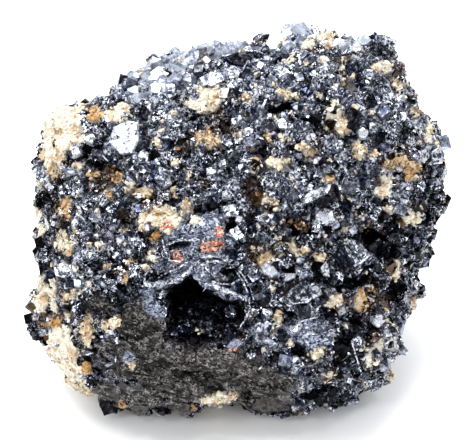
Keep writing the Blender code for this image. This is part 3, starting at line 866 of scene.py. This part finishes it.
class Joined:
    """Many small shapes that end up as one mesh."""

    def __init__(self, name):
        self.name = name
        self.points, self.corners, self.sides = [], [], []
        self.values = {}
        self.count = 0

    def add(self, shape, places, turns, sizes, values):
        """Adds a copy of the shape at each place, with its turn, its size and its values."""
        vertices, faces = shape
        copies = len(places)
        if not copies:
            return
        scaled = vertices[None, :, :] * sizes[:, None, :]
        points = places[:, None, :] + np.einsum("nij,nkj->nki", turns, scaled)
        starts = self.count + np.arange(copies) * len(vertices)
        flat = np.concatenate([np.array(face) for face in faces])
        self.points.append(points.reshape(-1, 3))
        self.corners.append((starts[:, None] + flat[None, :]).ravel())
        self.sides.append(np.tile([len(face) for face in faces], copies))
        for key, value in values.items():
            self.values.setdefault(key, []).append(np.repeat(value, len(vertices)))
        self.count += copies * len(vertices)

    def add_placed(self, shape, **values):
        """Adds one shape whose points are already in place."""
        values = {key: [value] for key, value in values.items()}
        self.add(shape, np.zeros((1, 3)), np.eye(3)[None], np.ones((1, 3)), values)

    def make(self, material):
        """The object, riding on the stone's body."""
        points = np.concatenate(self.points)
        points[:, 2] = np.maximum(points[:, 2], 0.0)
        corners, sides = np.concatenate(self.corners), np.concatenate(self.sides)
        mesh = bpy.data.meshes.new(self.name)
        mesh.vertices.add(len(points))
        mesh.vertices.foreach_set("co", points.ravel())
        mesh.loops.add(len(corners))
        mesh.loops.foreach_set("vertex_index", corners)
        mesh.polygons.add(len(sides))
        mesh.polygons.foreach_set("loop_start", np.concatenate([[0], np.cumsum(sides)[:-1]]))
        mesh.polygons.foreach_set("loop_total", sides)
        mesh.update(calc_edges=True)
        set_attributes(mesh, {key: np.concatenate(value) for key, value in self.values.items()})
        finished(self.name, mesh, material)


def finished(name, mesh, material):
    """An object of the mesh that rides on the stone's body, flat shaded."""
    mesh.materials.clear()
    mesh.materials.append(material)
    mesh.shade_flat()
    obj = linked(name, mesh)
    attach(obj, BODY)
    return obj


class Ground:
    """The broken surface as places where something can grow."""

    def __init__(self, mesh):
        points = vertex_values(mesh, "co")
        corners = np.zeros(len(mesh.polygons) * 3, int)
        mesh.polygons.foreach_get("vertices", corners)
        corners = corners.reshape(-1, 3)
        self.triangles = points[corners]
        first, second, third = self.triangles.transpose(1, 0, 2)
        cross = np.cross(second - first, third - first)
        self.area = np.linalg.norm(cross, axis=1) / 2.0
        self.normals = unit(cross)
        self.middles = self.triangles.mean(axis=1)
        self.kinds = ground_at(self.middles)
        self.covered = under_faces(self.middles)
        self.tree = BVHTree.FromPolygons(points.tolist(), corners.tolist())

    def open_share(self, lowest, **kept_off):
        """1 from the lowest height up, less where faces or kinds of stone keep growth off."""
        share = (self.middles[:, 2] > lowest * MM) * (1.0 - self.covered)
        for kind, part in kept_off.items():
            share = share * (1.0 - part * self.kinds[kind])
        return share

    def places(self, random, count, weight):
        """Random places with a chance in proportion to area and weight: point, normal, face."""
        chance = self.area * weight
        chosen = random.choice(len(chance), size=count, replace=True, p=chance / chance.sum())
        a, b = random.uniform(size=(2, count))
        flip = a + b > 1.0
        a, b = np.where(flip, 1.0 - a, a)[:, None], np.where(flip, 1.0 - b, b)[:, None]
        first, second, third = self.triangles[chosen].transpose(1, 0, 2)
        return first + a * (second - first) + b * (third - first), self.normals[chosen], chosen


# The pieces of small crystals: their number, typical edge in millimetres and its spread, the palest
# tone, the share of finely broken ones, and how far dark hollows keep them off.
CRYSTALS = {
    "coarse": (2700, 1.75, 0.17, 0.58, 0.60, 0.9),
    "medium": (8400, 1.25, 0.24, 0.86, 0.38, 0.3),
    "fine": (6500, 0.84, 0.22, 1.05, 0.20, 0.3),
    "small": (3500, 0.66, 0.20, 1.05, 0.20, 0.3),
}
SHAPE_SHARES = [0.14, 0.18, 0.05, 0.21, 0.21, 0.21]    # cubes, cut cubes, octahedra and three chips
LARGEST_EDGE = 1.95 * MM
CRYSTAL_SIDES = (0.65, 1.3)          # the least and greatest side, in edge lengths
CLUSTER_SIZE, CLUSTER_SEED = 4.5 * MM, 201
CLUSTER_SPREAD = 0.30                # how far the turns within a cluster differ, in radians
DEEPEST = -0.42                      # the lowest place of a crystal's middle, in edge lengths
# Painted light and shade: how much lighter the crystals are painted at the top and darker at the foot.
TOP_PAINTED_LIGHT, FOOT_PAINTED_SHADE = 0.29, 0.04
# Painted shade between the grains: crystals that lie deeper are painted darker.
SUNK_SHADE = 0.9                     # how much darker a crystal is that lies deeper
PALE_GROWTH = 0.25                   # how much larger the crystals of the pale patches are
PALE_SINK = 0.22                     # how much deeper they lie, in edge lengths
EDGE_COUNT, CAVITY_COUNT, CRUMB_COUNT, RUST_COUNT = 6200, 130, 9500, 420
WEB_SHARE = 0.012                    # how thickly crumbs of calcite lie between the crystals
# Typical edges in millimetres, their spread, and the least and greatest side in edge lengths.
CAVITY_EDGE, CRUMB_EDGE = (0.95, 0.25, (0.8, 1.2)), (0.66, 0.34, (0.7, 1.2))
RUST_EDGE = (0.55, 0.3, (0.7, 1.2))
# The bright edges, painted pale as painted glints, in millimetres: typical length and its spread, least
# and greatest breadth and height.
BLADE_LENGTH, BLADE_SPREAD = 0.50, 0.35
BLADE_LEAN = 0.22                    # how far they lean off the stone's normal, in radians
BLADE_BREADTH, BLADE_HEIGHT = (0.045, 0.085), (0.18, 0.46)
CRYSTAL_SEED, CRUMB_SEED, RUST_SEED, RIB_SEED, EDGE_SEED, CAVITY_SEED = 5, 6, 7, 8, 9, 10


def shared_turns(random, points, spread):
    """Turns that crystals of one cluster nearly share, so that their faces glint together."""
    cluster, _ = grains_at(points, CLUSTER_SIZE, CLUSTER_SEED)
    _, number = np.unique(cluster, axis=0, return_inverse=True)
    number = number.ravel()
    common = random_turns(random, number.max() + 1)[number]
    return small_turns(random, len(points), spread) @ common


def grow_perovskite(ground, material):
    """The small crystals that cover the stone, in several pieces."""
    random = np.random.default_rng(CRYSTAL_SEED)
    chips = [template(chip_corners(random)) for _ in range(3)]
    shapes = [template(CUBE), template(cut_corners(1.0)), template(OCTAHEDRON), *chips]
    for name, (count, typical, spread, palest, broken, hollow) in CRYSTALS.items():
        weight = ground.open_share(
            0.25, calcite=0.96, massive=0.99, silver=0.85, rust=0.97, cavity=1.0, dark=hollow)
        places, normals, faces = ground.places(random, count, weight)
        here = {kind: values[faces] for kind, values in ground.kinds.items()}
        edge, sizes = grain_sizes(random, count, typical, spread, CRYSTAL_SIDES, LARGEST_EDGE)
        turns = shared_turns(random, places, CLUSTER_SPREAD)
        pale = here["pale"]
        rise = random.uniform(DEEPEST, 0.0, size=count)
        places = places + normals * (edge * (rise - PALE_SINK * pale))[:, None]
        # Painted shade: crystals in the hollows and clefts are painted darker.
        tone = random.beta(0.85, 1.15, size=count) + 0.3 * here["silver"] - here["dark"]
        # Painted shade: deeper crystals are darker.
        tone += SUNK_SHADE * (rise - DEEPEST / 2.0) - 0.5 * here["massive"]
        # Painted light at the top and painted shade at the foot.
        tone += TOP_PAINTED_LIGHT * here["bright"] - FOOT_PAINTED_SHADE * (1.0 - here["bright"])
        tone = np.clip(tone, 0.0, palest)
        # Pale patches: crystals painted pale, partly a painted highlight of the lit top.
        tone += pale * (0.62 + 0.38 * random.uniform(size=count) - tone)
        grainy = (random.uniform(size=count) < broken * (1.0 - 0.85 * pale)).astype(float)
        sizes = sizes * (1.0 + PALE_GROWTH * pale)[:, None]
        values = {"tone": tone, "grainy": grainy, "brown": here["brown"], "pale": pale}
        joined = Joined(f"perovskite_crystals_{name}")
        kind = random.choice(len(shapes), size=count, p=SHAPE_SHARES)
        for number, shape in enumerate(shapes):
            own = kind == number
            own_values = {key: value[own] for key, value in values.items()}
            joined.add(shape, places[own], turns[own], sizes[own], own_values)
        joined.make(material)


def grow_slivers(ground, material):
    """Thin bright edges of broken crystals: small blades that stand half in the stone, painted pale as
    painted glints.
    """
    random = np.random.default_rng(EDGE_SEED)
    weight = ground.open_share(0.5, calcite=1.0, massive=0.99, cavity=1.0, dark=0.8, pale=1.0)
    # More painted glints where the stone is painted lighter at the top, and on the silver faces.
    weight = weight * (0.6 + 0.8 * ground.kinds["bright"] + ground.kinds["silver"])
    places, normals, _ = ground.places(random, EDGE_COUNT, weight)
    along = unit(np.cross(normals, random.normal(size=(EDGE_COUNT, 3))))
    across = np.cross(normals, along)
    turns = small_turns(random, EDGE_COUNT, BLADE_LEAN) @ np.stack([along, across, normals], axis=2)
    length = BLADE_LENGTH * MM * np.exp(random.normal(scale=BLADE_SPREAD, size=EDGE_COUNT))
    breadth = random.uniform(*BLADE_BREADTH, size=EDGE_COUNT) * MM
    height = random.uniform(*BLADE_HEIGHT, size=EDGE_COUNT) * MM
    sizes = np.stack([length, breadth, height], axis=1)
    none = np.zeros(EDGE_COUNT)
    # Painted glints: pale tones.
    values = {"tone": random.uniform(0.9, 1.15, size=EDGE_COUNT), "grainy": none, "brown": none}
    joined = Joined("painted_glint_edges")
    joined.add(template(OCTAHEDRON), places, turns, sizes, values)
    joined.make(material)


def grow_cavity(ground, material):
    """Small blue crystals on the floor of the cavity, painted dark as painted shade of the cavity."""
    random = np.random.default_rng(CAVITY_SEED)
    floor = smooth_step(0.0, 0.4, ground.normals[:, 2]) + 0.06
    low = pixels_of(ground.middles)[1] > CAVITY_FLOOR
    places, _, _ = ground.places(random, CAVITY_COUNT, ground.kinds["cavity"] * floor * low)
    _, sizes = grain_sizes(random, CAVITY_COUNT, *CAVITY_EDGE)
    # Painted shade: low tones for the shaded cavity.
    tone = random.uniform(0.05, 0.42, size=CAVITY_COUNT)
    values = {"tone": tone, "grainy": np.full(CAVITY_COUNT, 0.4), "brown": np.zeros(CAVITY_COUNT)}
    joined = Joined("cavity_crystals")
    joined.add(template(cut_corners(1.0)), places, random_turns(random, CAVITY_COUNT), sizes, values)
    joined.make(material)


def on_front(tree, x, y):
    """Where the camera's ray through a pixel meets the stone."""
    return tree.ray_cast(CAMERA_PLACE, ray_through(x, y))[0]


def add_faces(tree, faces, name, material):
    """Blocks of stone whose broad faces have the given corners as the camera sees them."""
    joined = Joined(name)
    for tone, right, up, corners in faces:
        middle = [sum(line) / len(corners) for line in zip(*corners)]
        hit = on_front(tree, *middle)
        if hit is None:
            continue
        lean = Matrix.Rotation(math.radians(right), 3, UP) @ Matrix.Rotation(math.radians(-up), 3, RIGHT)
        normal = lean @ OUT
        centre = hit + OUT * FACE_LIFT
        on_plane = []
        for x, y in corners:
            ray = ray_through(x, y)
            reach = (centre - CAMERA_PLACE).dot(normal) / ray.dot(normal)
            on_plane.append(CAMERA_PLACE + ray * reach)
        points = []
        for share, down in FACE_RINGS:
            points += [centre + (point - centre) * share - normal * down for point in on_plane]
        shape = template([point[:] for point in points])
        joined.add_placed(shape, tone=tone, grainy=FACE_GRAINY, brown=0.0)
    joined.make(material)


def finely(places, step):
    """The line through the places, with points about a step apart."""
    line = []
    for (x0, y0), (x1, y1) in zip(places, places[1:]):
        steps = max(2, round(math.hypot(x1 - x0, y1 - y0) / step))
        line += [(x0 + (x1 - x0) * k / steps, y0 + (y1 - y0) * k / steps) for k in range(steps)]
    return line + [places[-1]]


def wall_faces(rings, sides):
    """The faces of a closed wall of so many rings of points."""
    faces = []
    for ring, side in itertools.product(range(rings - 1), range(sides)):
        a, b = ring * sides + side, ring * sides + (side + 1) % sides
        faces.append([a, b, b + sides, a + sides])
    last = (rings - 1) * sides
    return faces + [list(range(sides))[::-1], list(range(last, last + sides))]


def add_ribs(tree, material):
    """Bright lips, ribs and needles: uneven walls with rounded tops that stand in the stone."""
    random = np.random.default_rng(RIB_SEED)
    joined = Joined("bright_ribs")
    for width, lift, places in BRIGHT_RIBS:
        line = finely(places, RIB_STEP)
        hits = [on_front(tree, x, y) for x, y in line]
        if None in hits:
            continue
        stone = np.array([(hit - CAMERA_PLACE).length for hit in hits])
        nearest = stone.copy()
        nearest[1:-1] = np.minimum.reduce([np.roll(stone, k) for k in (-1, 0, 1)])[1:-1]
        points = []
        for i, (x, y) in enumerate(line):
            centre = CAMERA_PLACE + ray_through(x, y) * (nearest[i] - lift * PIXEL)
            ahead, behind = line[min(i + 1, len(line) - 1)], line[max(i - 1, 0)]
            along = (RIGHT * (ahead[0] - behind[0]) - UP * (ahead[1] - behind[1])).normalized()
            across = along.cross(OUT)
            taper = 0.45 if i in (0, len(line) - 1) else 1.0
            half = 0.5 * width * PIXEL * taper * random.uniform(0.7, 1.3)
            for a, b in RIB_TOP:
                shake = random.uniform(0.8, 1.2)
                points.append((centre + (across * a + OUT * b) * half * shake)[:])
            foot = CAMERA_PLACE + ray_through(x, y) * (stone[i] + RIB_FOOT)
            points += [(foot + across * half * side)[:] for side in (1.0, -1.0)]
        shape = np.array(points), wall_faces(len(line), len(RIB_TOP) + 2)
        joined.add_placed(shape, tone=RIB_TONE, grainy=RIB_GRAINY, brown=0.0)
    joined.make(material)


def grow_calcite(ground, material):
    """Crumbs of calcite in the patches, and a few between the crystals."""
    random = np.random.default_rng(CRUMB_SEED)
    shapes = [template(chip_corners(random, 10)) for _ in range(3)] + [template(lump_corners(random))]
    here = ground.kinds
    bare = np.clip(1.0 - here["massive"] - here["silver"] - here["cavity"], 0.0, 1.0)
    weight = (here["calcite"] + WEB_SHARE * bare) * ground.open_share(0.3)
    places, normals, faces = ground.places(random, CRUMB_COUNT, weight)
    edge, sizes = grain_sizes(random, CRUMB_COUNT, *CRUMB_EDGE)
    places = places + normals * (edge * random.uniform(-0.15, 0.15, size=CRUMB_COUNT))[:, None]
    tint = np.clip(here["tint"][faces] + random.normal(scale=0.10, size=CRUMB_COUNT), 0.0, 1.0)
    joined = Joined("calcite_crumbs")
    kind = random.integers(len(shapes), size=CRUMB_COUNT)
    for number, shape in enumerate(shapes):
        own = kind == number
        joined.add(shape, places[own], random_turns(random, own.sum()), sizes[own], {"tint": tint[own]})
    joined.make(material)


def grow_rust(ground, material):
    """Crumbs of rust over and beside the cavity."""
    random = np.random.default_rng(RUST_SEED)
    shape = template(lump_corners(random))
    places, _, _ = ground.places(random, RUST_COUNT, ground.kinds["rust"])
    _, sizes = grain_sizes(random, RUST_COUNT, *RUST_EDGE)
    turns = random_turns(random, RUST_COUNT)
    joined = Joined("rust_crumbs")
    joined.add(shape, places, turns, sizes, {"tint": random.uniform(size=RUST_COUNT)})
    joined.make(material)


# Materials

class Shader:
    """A material under construction: its Principled shader and short calls for its nodes."""

    def __init__(self, name):
        self.material = bpy.data.materials.new(name)
        self.material.use_nodes = True
        self.tree = self.material.node_tree
        self.place = self.node("TexCoord").outputs["Object"]

    def plug(self, socket, value):
        """Links an output to a socket, or sets the socket to a plain value."""
        if isinstance(value, bpy.types.NodeSocket):
            self.tree.links.new(value, socket)
        else:
            socket.default_value = value

    def fill(self, node, inputs):
        """Plugs values into a node's sockets; an underscore in a name stands for a space."""
        for name, value in inputs.items():
            self.plug(node.inputs[name.replace("_", " ")], value)
        return node

    def node(self, kind, **inputs):
        return self.fill(self.tree.nodes.new("ShaderNode" + kind), inputs)

    def finish(self, **inputs):
        """The material, with these values in its Principled shader."""
        self.fill(self.tree.nodes["Principled BSDF"], inputs)
        return self.material

    def value_of(self, attribute):
        node = self.node("Attribute")
        node.attribute_name = attribute
        return node.outputs["Fac"]

    def noise(self, millimetres, **inputs):
        """Clouds about so many millimetres across."""
        inputs = {"Vector": self.place, "Detail": 4.0, "Roughness": 0.6, **inputs}
        return self.node("TexNoise", Scale=1.0 / (millimetres * MM), **inputs).outputs["Fac"]

    def wisps(self, millimetres, place=None, distortion=2.2):
        """Noise pulled into thin curved streaks."""
        place = place or self.place
        return self.noise(millimetres, Vector=place, Detail=3.0, Roughness=0.5, Distortion=distortion)

    def cells(self, millimetres):
        """A random colour for each small cell."""
        return self.node("TexVoronoi", Vector=self.place, Scale=1.0 / (millimetres * MM)).outputs["Color"]

    def maths(self, operation, *values):
        node = self.node("Math")
        node.operation = operation
        for socket, value in zip(node.inputs, values):
            self.plug(socket, value)
        return node.outputs[0]

    def vectors(self, operation, *values, **inputs):
        """The same with vectors. A dot product gives a number."""
        node = self.node("VectorMath")
        node.operation = operation
        for socket, value in zip(node.inputs, values):
            self.plug(socket, value)
        self.fill(node, inputs)
        return node.outputs["Value" if operation == "DOT_PRODUCT" else "Vector"]

    def span(self, value, low, high, to_low=0.0, to_high=1.0):
        """The value mapped from low and high to to_low and to_high, held within them."""
        node = self.node("MapRange", Value=value, From_Min=low, From_Max=high)
        return self.fill(node, {"To Min": to_low, "To Max": to_high}).outputs["Result"]

    def mix(self, share, a, b):
        """Colour a, turned into colour b by the share."""
        node = self.node("Mix")
        node.data_type = "RGBA"
        self.plug(node.inputs[0], share)
        sockets = [socket for socket in node.inputs if socket.type == "RGBA"]
        for socket, value in zip(sockets, (a, b)):
            self.plug(socket, (*value, 1.0) if isinstance(value, tuple) else value)
        return next(socket for socket in node.outputs if socket.type == "RGBA")

    def squeezed(self, direction, share):
        """The place with its part along a direction shortened by a share, for lengthened patterns."""
        part = self.maths("MULTIPLY", self.vectors("DOT_PRODUCT", self.place, direction), share)
        return self.vectors("SUBTRACT", self.place, self.vectors("SCALE", direction, Scale=part))

    def glint(self, millimetres, strength):
        """A normal that leans a little differently in each small cell, as cleaved grains do."""
        lean = self.vectors("SUBTRACT", self.cells(millimetres), (0.5, 0.5, 0.5))
        lean = self.vectors("SCALE", lean, Scale=strength)
        normal = self.node("NewGeometry").outputs["Normal"]
        return self.vectors("NORMALIZE", self.vectors("ADD", normal, lean))

    def bump(self, height, millimetres, **inputs):
        node = self.node("Bump", Height=height, Distance=millimetres * MM, Strength=1.0, **inputs)
        return node.outputs["Normal"]

    def roughness(self, millimetres, low, high):
        """Roughness that wanders between two values."""
        return self.span(self.noise(millimetres), 0.3, 0.7, low, high)


NEAR_BLACK = (0.006, 0.006, 0.008)
SLATE = (0.056, 0.060, 0.078)
DEEP_BLUE = (0.045, 0.058, 0.125)
STEEL_BLUE = (0.28, 0.30, 0.37)
PALE_BLUE = (0.74, 0.77, 0.84)
FROSTED_GREY = (0.110, 0.125, 0.170)
FROSTED_WHITE = (0.42, 0.46, 0.54)
SILVER_DARK, SILVER_PALE = (0.022, 0.026, 0.042), (0.46, 0.505, 0.63)
BROWN_SKIN = (0.105, 0.058, 0.022)
STREAK_BLACK, STREAK_GREY = (0.003, 0.003, 0.003), (0.290, 0.268, 0.256)
CHARCOAL = (0.022, 0.020, 0.020)
CRACK = (0.002, 0.002, 0.002)
MATT_GREY, MATT_DARK = (0.13, 0.122, 0.115), (0.035, 0.032, 0.030)
OCHRE = (0.44, 0.235, 0.065)
CREAM = (0.68, 0.61, 0.475)
WHITE_CALCITE = (0.72, 0.69, 0.62)
PORE = (0.060, 0.034, 0.016)
RUST = (0.42, 0.110, 0.048)
PALE_RUST = (0.72, 0.46, 0.35)
DARK_RUST = (0.06, 0.014, 0.008)
STONE_IOR = 1.6


def crystal_colour(s, tone):
    """Black through slate and steel to pale by tone, some crystals blue, and brown near calcite."""
    slate = s.mix(s.span(s.noise(2.6), 0.50, 0.62), SLATE, DEEP_BLUE)
    colour = s.mix(s.span(tone, 0.25, 0.50), NEAR_BLACK, slate)
    colour = s.mix(s.span(tone, 0.55, 0.80), colour, STEEL_BLUE)
    colour = s.mix(s.span(tone, 0.85, 1.05), colour, PALE_BLUE)
    return s.mix(s.maths("MULTIPLY", s.value_of("brown"), 0.8), colour, BROWN_SKIN)


def crystal_material():
    """Black to steel-blue crystal faces, some smooth and some finely broken and glittering."""
    s = Shader("perovskite_crystal")
    grainy = s.value_of("grainy")
    # Partly the grains' own mottling, partly painted glints: fine pale specks and streaks in the tone.
    painted_glint_speck = s.maths("ADD", s.span(s.cells(0.34), 0.30, 0.75, -0.20, 0.20),
                    s.span(s.wisps(0.60), 0.40, 0.60, -0.60, 0.60))
    patch = s.span(s.noise(1.0), 0.40, 0.60, -0.18, 0.18)
    tone = s.maths("ADD", s.value_of("tone"), patch)
    tone = s.maths("MULTIPLY_ADD", painted_glint_speck, s.maths("MULTIPLY_ADD", grainy, 0.85, 0.15), tone)
    # Frosted colour of the pale patches, partly a painted highlight.
    pale = s.maths("SUBTRACT", s.value_of("pale"), s.value_of("brown"))
    frosted = s.mix(s.span(tone, 0.55, 1.0), FROSTED_GREY, FROSTED_WHITE)
    metal = s.span(tone, 0.85, 1.15, 0.94, 0.50)
    return s.finish(
        Base_Color=s.mix(pale, crystal_colour(s, tone), frosted),
        Roughness=s.roughness(0.5, 0.08, 0.34),
        Normal=s.glint(0.50, s.maths("MULTIPLY_ADD", grainy, 0.62, 0.10)),
        Metallic=s.maths("MULTIPLY", metal, s.maths("MULTIPLY_ADD", pale, -0.75, 1.0)),
        IOR=STONE_IOR)


def massive_colour(s):
    """Charcoal with fine grey-brown streaks and black cracks."""
    place = s.squeezed(MASSIVE_STREAKS, 0.66)
    coarse = s.maths("MULTIPLY", s.wisps(0.75), 0.45)
    streak = s.span(s.maths("MULTIPLY_ADD", s.wisps(0.36, place, 2.0), 0.55, coarse), 0.470, 0.545)
    colour = s.mix(streak, STREAK_BLACK, STREAK_GREY)
    colour = s.mix(s.span(s.noise(1.4), 0.46, 0.56, 0.0, 0.80), colour, CHARCOAL)
    return s.mix(s.span(s.wisps(1.4, place, 1.6), 0.54, 0.58, 0.0, 0.9), colour, CRACK)


def matt_material():
    """Dark grey massive stone with a dull worn surface."""
    s = Shader("massive_stone")
    return s.finish(
        Base_Color=s.mix(s.span(s.wisps(1.4), 0.42, 0.62), MATT_GREY, MATT_DARK),
        Roughness=s.roughness(0.6, 0.45, 0.7),
        Normal=s.bump(s.noise(0.3), 0.10),
        Metallic=0.6)


def calcite_colour(s, tint):
    """Ochre through cream to white by tint, with darker pores and stains."""
    low = s.mix(s.span(tint, 0.0, 0.5), OCHRE, CREAM)
    whole = s.mix(s.span(tint, 0.5, 1.0), low, WHITE_CALCITE)
    stain = s.maths("MULTIPLY", s.span(s.noise(2.0), 0.52, 0.60), s.span(tint, 0.3, 0.8, 0.9, 0.55))
    pore = s.maths("MULTIPLY", s.span(s.wisps(0.9), 0.54, 0.60), s.span(tint, 0.5, 0.68, 0.9, 0.12))
    return s.mix(pore, s.mix(stain, whole, OCHRE), PORE)


def calcite_material():
    s = Shader("calcite_crumb")
    return s.finish(
        Base_Color=calcite_colour(s, s.value_of("tint")),
        Roughness=s.roughness(0.6, 0.55, 0.9),
        Normal=s.bump(s.noise(0.22), 0.12),
        Subsurface_Weight=0.08,
        Subsurface_Scale=0.3 * MM)


def rust_material():
    s = Shader("rust_crumb")
    red = s.mix(s.span(s.noise(0.7), 0.47, 0.55), RUST, DARK_RUST)
    return s.finish(
        Base_Color=s.mix(s.span(s.wisps(0.7), 0.50, 0.57), red, PALE_RUST),
        Roughness=s.roughness(0.4, 0.5, 0.85),
        Normal=s.bump(s.noise(0.25), 0.10))


def stone_material():
    """The stone under the crystals: dark grains, charcoal massive stone, silver faces and calcite."""
    s = Shader("intergrown_stone")
    calcite, massive = s.value_of("calcite"), s.value_of("massive")
    tone = s.maths("ADD", s.noise(0.7), s.span(s.wisps(0.45), 0.40, 0.60, -0.32, 0.32))
    # Painted light: the stone is painted lighter towards the top.
    tone = s.maths("MULTIPLY_ADD", s.value_of("bright"), 0.20, s.maths("SUBTRACT", tone, 0.10))
    # Painted shade: the stone is painted darker in the cavity and the shadowed clefts.
    hollow = s.maths("MAXIMUM", s.value_of("cavity"), s.value_of("dark"))
    tone = s.maths("SUBTRACT", tone, s.maths("MULTIPLY", hollow, 0.42))
    dark = s.mix(massive, crystal_colour(s, tone), massive_colour(s))
    streaks = s.wisps(0.48, s.squeezed(SILVER_STREAKS, 0.50))
    silver = s.mix(s.span(streaks, 0.43, 0.56), SILVER_DARK, SILVER_PALE)
    dark = s.mix(s.maths("SUBTRACT", s.value_of("silver"), s.value_of("dark")), dark, silver)
    colour = s.mix(calcite, dark, calcite_colour(s, s.value_of("tint")))
    rough = s.maths("MAXIMUM", s.roughness(0.6, 0.14, 0.42), s.maths("MULTIPLY", massive, 0.50))
    glint = s.glint(0.32, s.maths("MULTIPLY_ADD", calcite, -0.35, 0.50))
    return s.finish(
        Base_Color=s.mix(s.value_of("rust"), colour, RUST),
        Roughness=s.maths("MAXIMUM", rough, s.maths("MULTIPLY", calcite, 0.8)),
        Metallic=s.maths("MULTIPLY", s.maths("SUBTRACT", 1.0, calcite), 0.85),
        Normal=s.bump(s.noise(0.3), 0.08, Normal=glint),
        IOR=STONE_IOR)


# Floor and light

FLOOR_RADIUS = 4.0


def make_floor():
    bm = bmesh.new()
    bmesh.ops.create_circle(bm, cap_ends=True, segments=96, radius=FLOOR_RADIUS)
    mesh = bpy.data.meshes.new("floor")
    bm.to_mesh(mesh)
    bm.free()
    paint = Shader("pale_floor")
    pale = (0.95, 0.95, 0.95, 1.0)
    mesh.materials.append(paint.finish(Base_Color=pale, Roughness=0.9, Specular_IOR_Level=0.1))
    floor = linked("floor", mesh)


# Soft lights: place in metres, side in metres, radiance and colour.
SOFT_LIGHTS = {
    "overhead": ((-0.08, 0.06, 0.42), 0.34, 7.0, (0.97, 0.985, 1.0)),
    "front_left": ((-0.36, -0.26, 0.30), 0.14, 7.0, (1.0, 0.99, 0.97)),
    "front_right": ((0.34, -0.34, 0.22), 0.09, 7.0, (0.97, 0.98, 1.0)),
    "back": ((0.00, 0.44, 0.33), 0.46, 2.1, (0.92, 0.94, 1.0)),
    "spark_left": ((-0.16, -0.30, 0.42), 0.04, 50.0, (1.0, 1.0, 1.0)),
    "spark_right": ((0.20, -0.12, 0.46), 0.04, 50.0, (1.0, 1.0, 1.0)),
}
SKY_COLOUR = (0.95, 0.97, 1.0, 1.0)
GLOSSY_SKY, SOFT_SKY = 0.16, 1.0     # the sky's strength in reflections and elsewhere


def make_lights():
    for name, (place, side, radiance, colour) in SOFT_LIGHTS.items():
        data = bpy.data.lights.new(name, "AREA")
        data.shape = "SQUARE"
        data.size = side
        data.energy = radiance * math.pi * side * side
        data.color = colour
        aimed(name, data, place, Vector(place) - AIM).visible_camera = False
    world = bpy.data.worlds.new("studio")
    world.use_nodes = True
    nodes, links = world.node_tree.nodes, world.node_tree.links
    background = nodes["Background"]
    background.inputs["Color"].default_value = SKY_COLOUR
    strength = nodes.new("ShaderNodeMapRange")
    strength.inputs["To Min"].default_value = SOFT_SKY
    strength.inputs["To Max"].default_value = GLOSSY_SKY
    links.new(nodes.new("ShaderNodeLightPath").outputs["Is Glossy Ray"], strength.inputs["Value"])
    links.new(strength.outputs["Result"], background.inputs["Strength"])
    bpy.context.scene.world = world
    bpy.context.scene.view_settings.view_transform = "Standard"


def main():
    make_camera()
    mesh = refined_solid()
    set_attributes(mesh, break_surface(mesh))
    stone = finished("intergrown_stone", mesh, stone_material())
    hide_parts(NODE)
    ground = Ground(mesh)
    crystal = crystal_material()
    grow_perovskite(ground, crystal)
    grow_slivers(ground, crystal)
    grow_cavity(ground, crystal)
    add_faces(ground.tree, BRIGHT_FACES, "broad_faces", crystal)
    add_faces(ground.tree, MATT_FACES, "matt_faces", matt_material())
    add_ribs(ground.tree, crystal)
    grow_calcite(ground, calcite_material())
    grow_rust(ground, rust_material())
    make_floor()
    make_lights()


main()
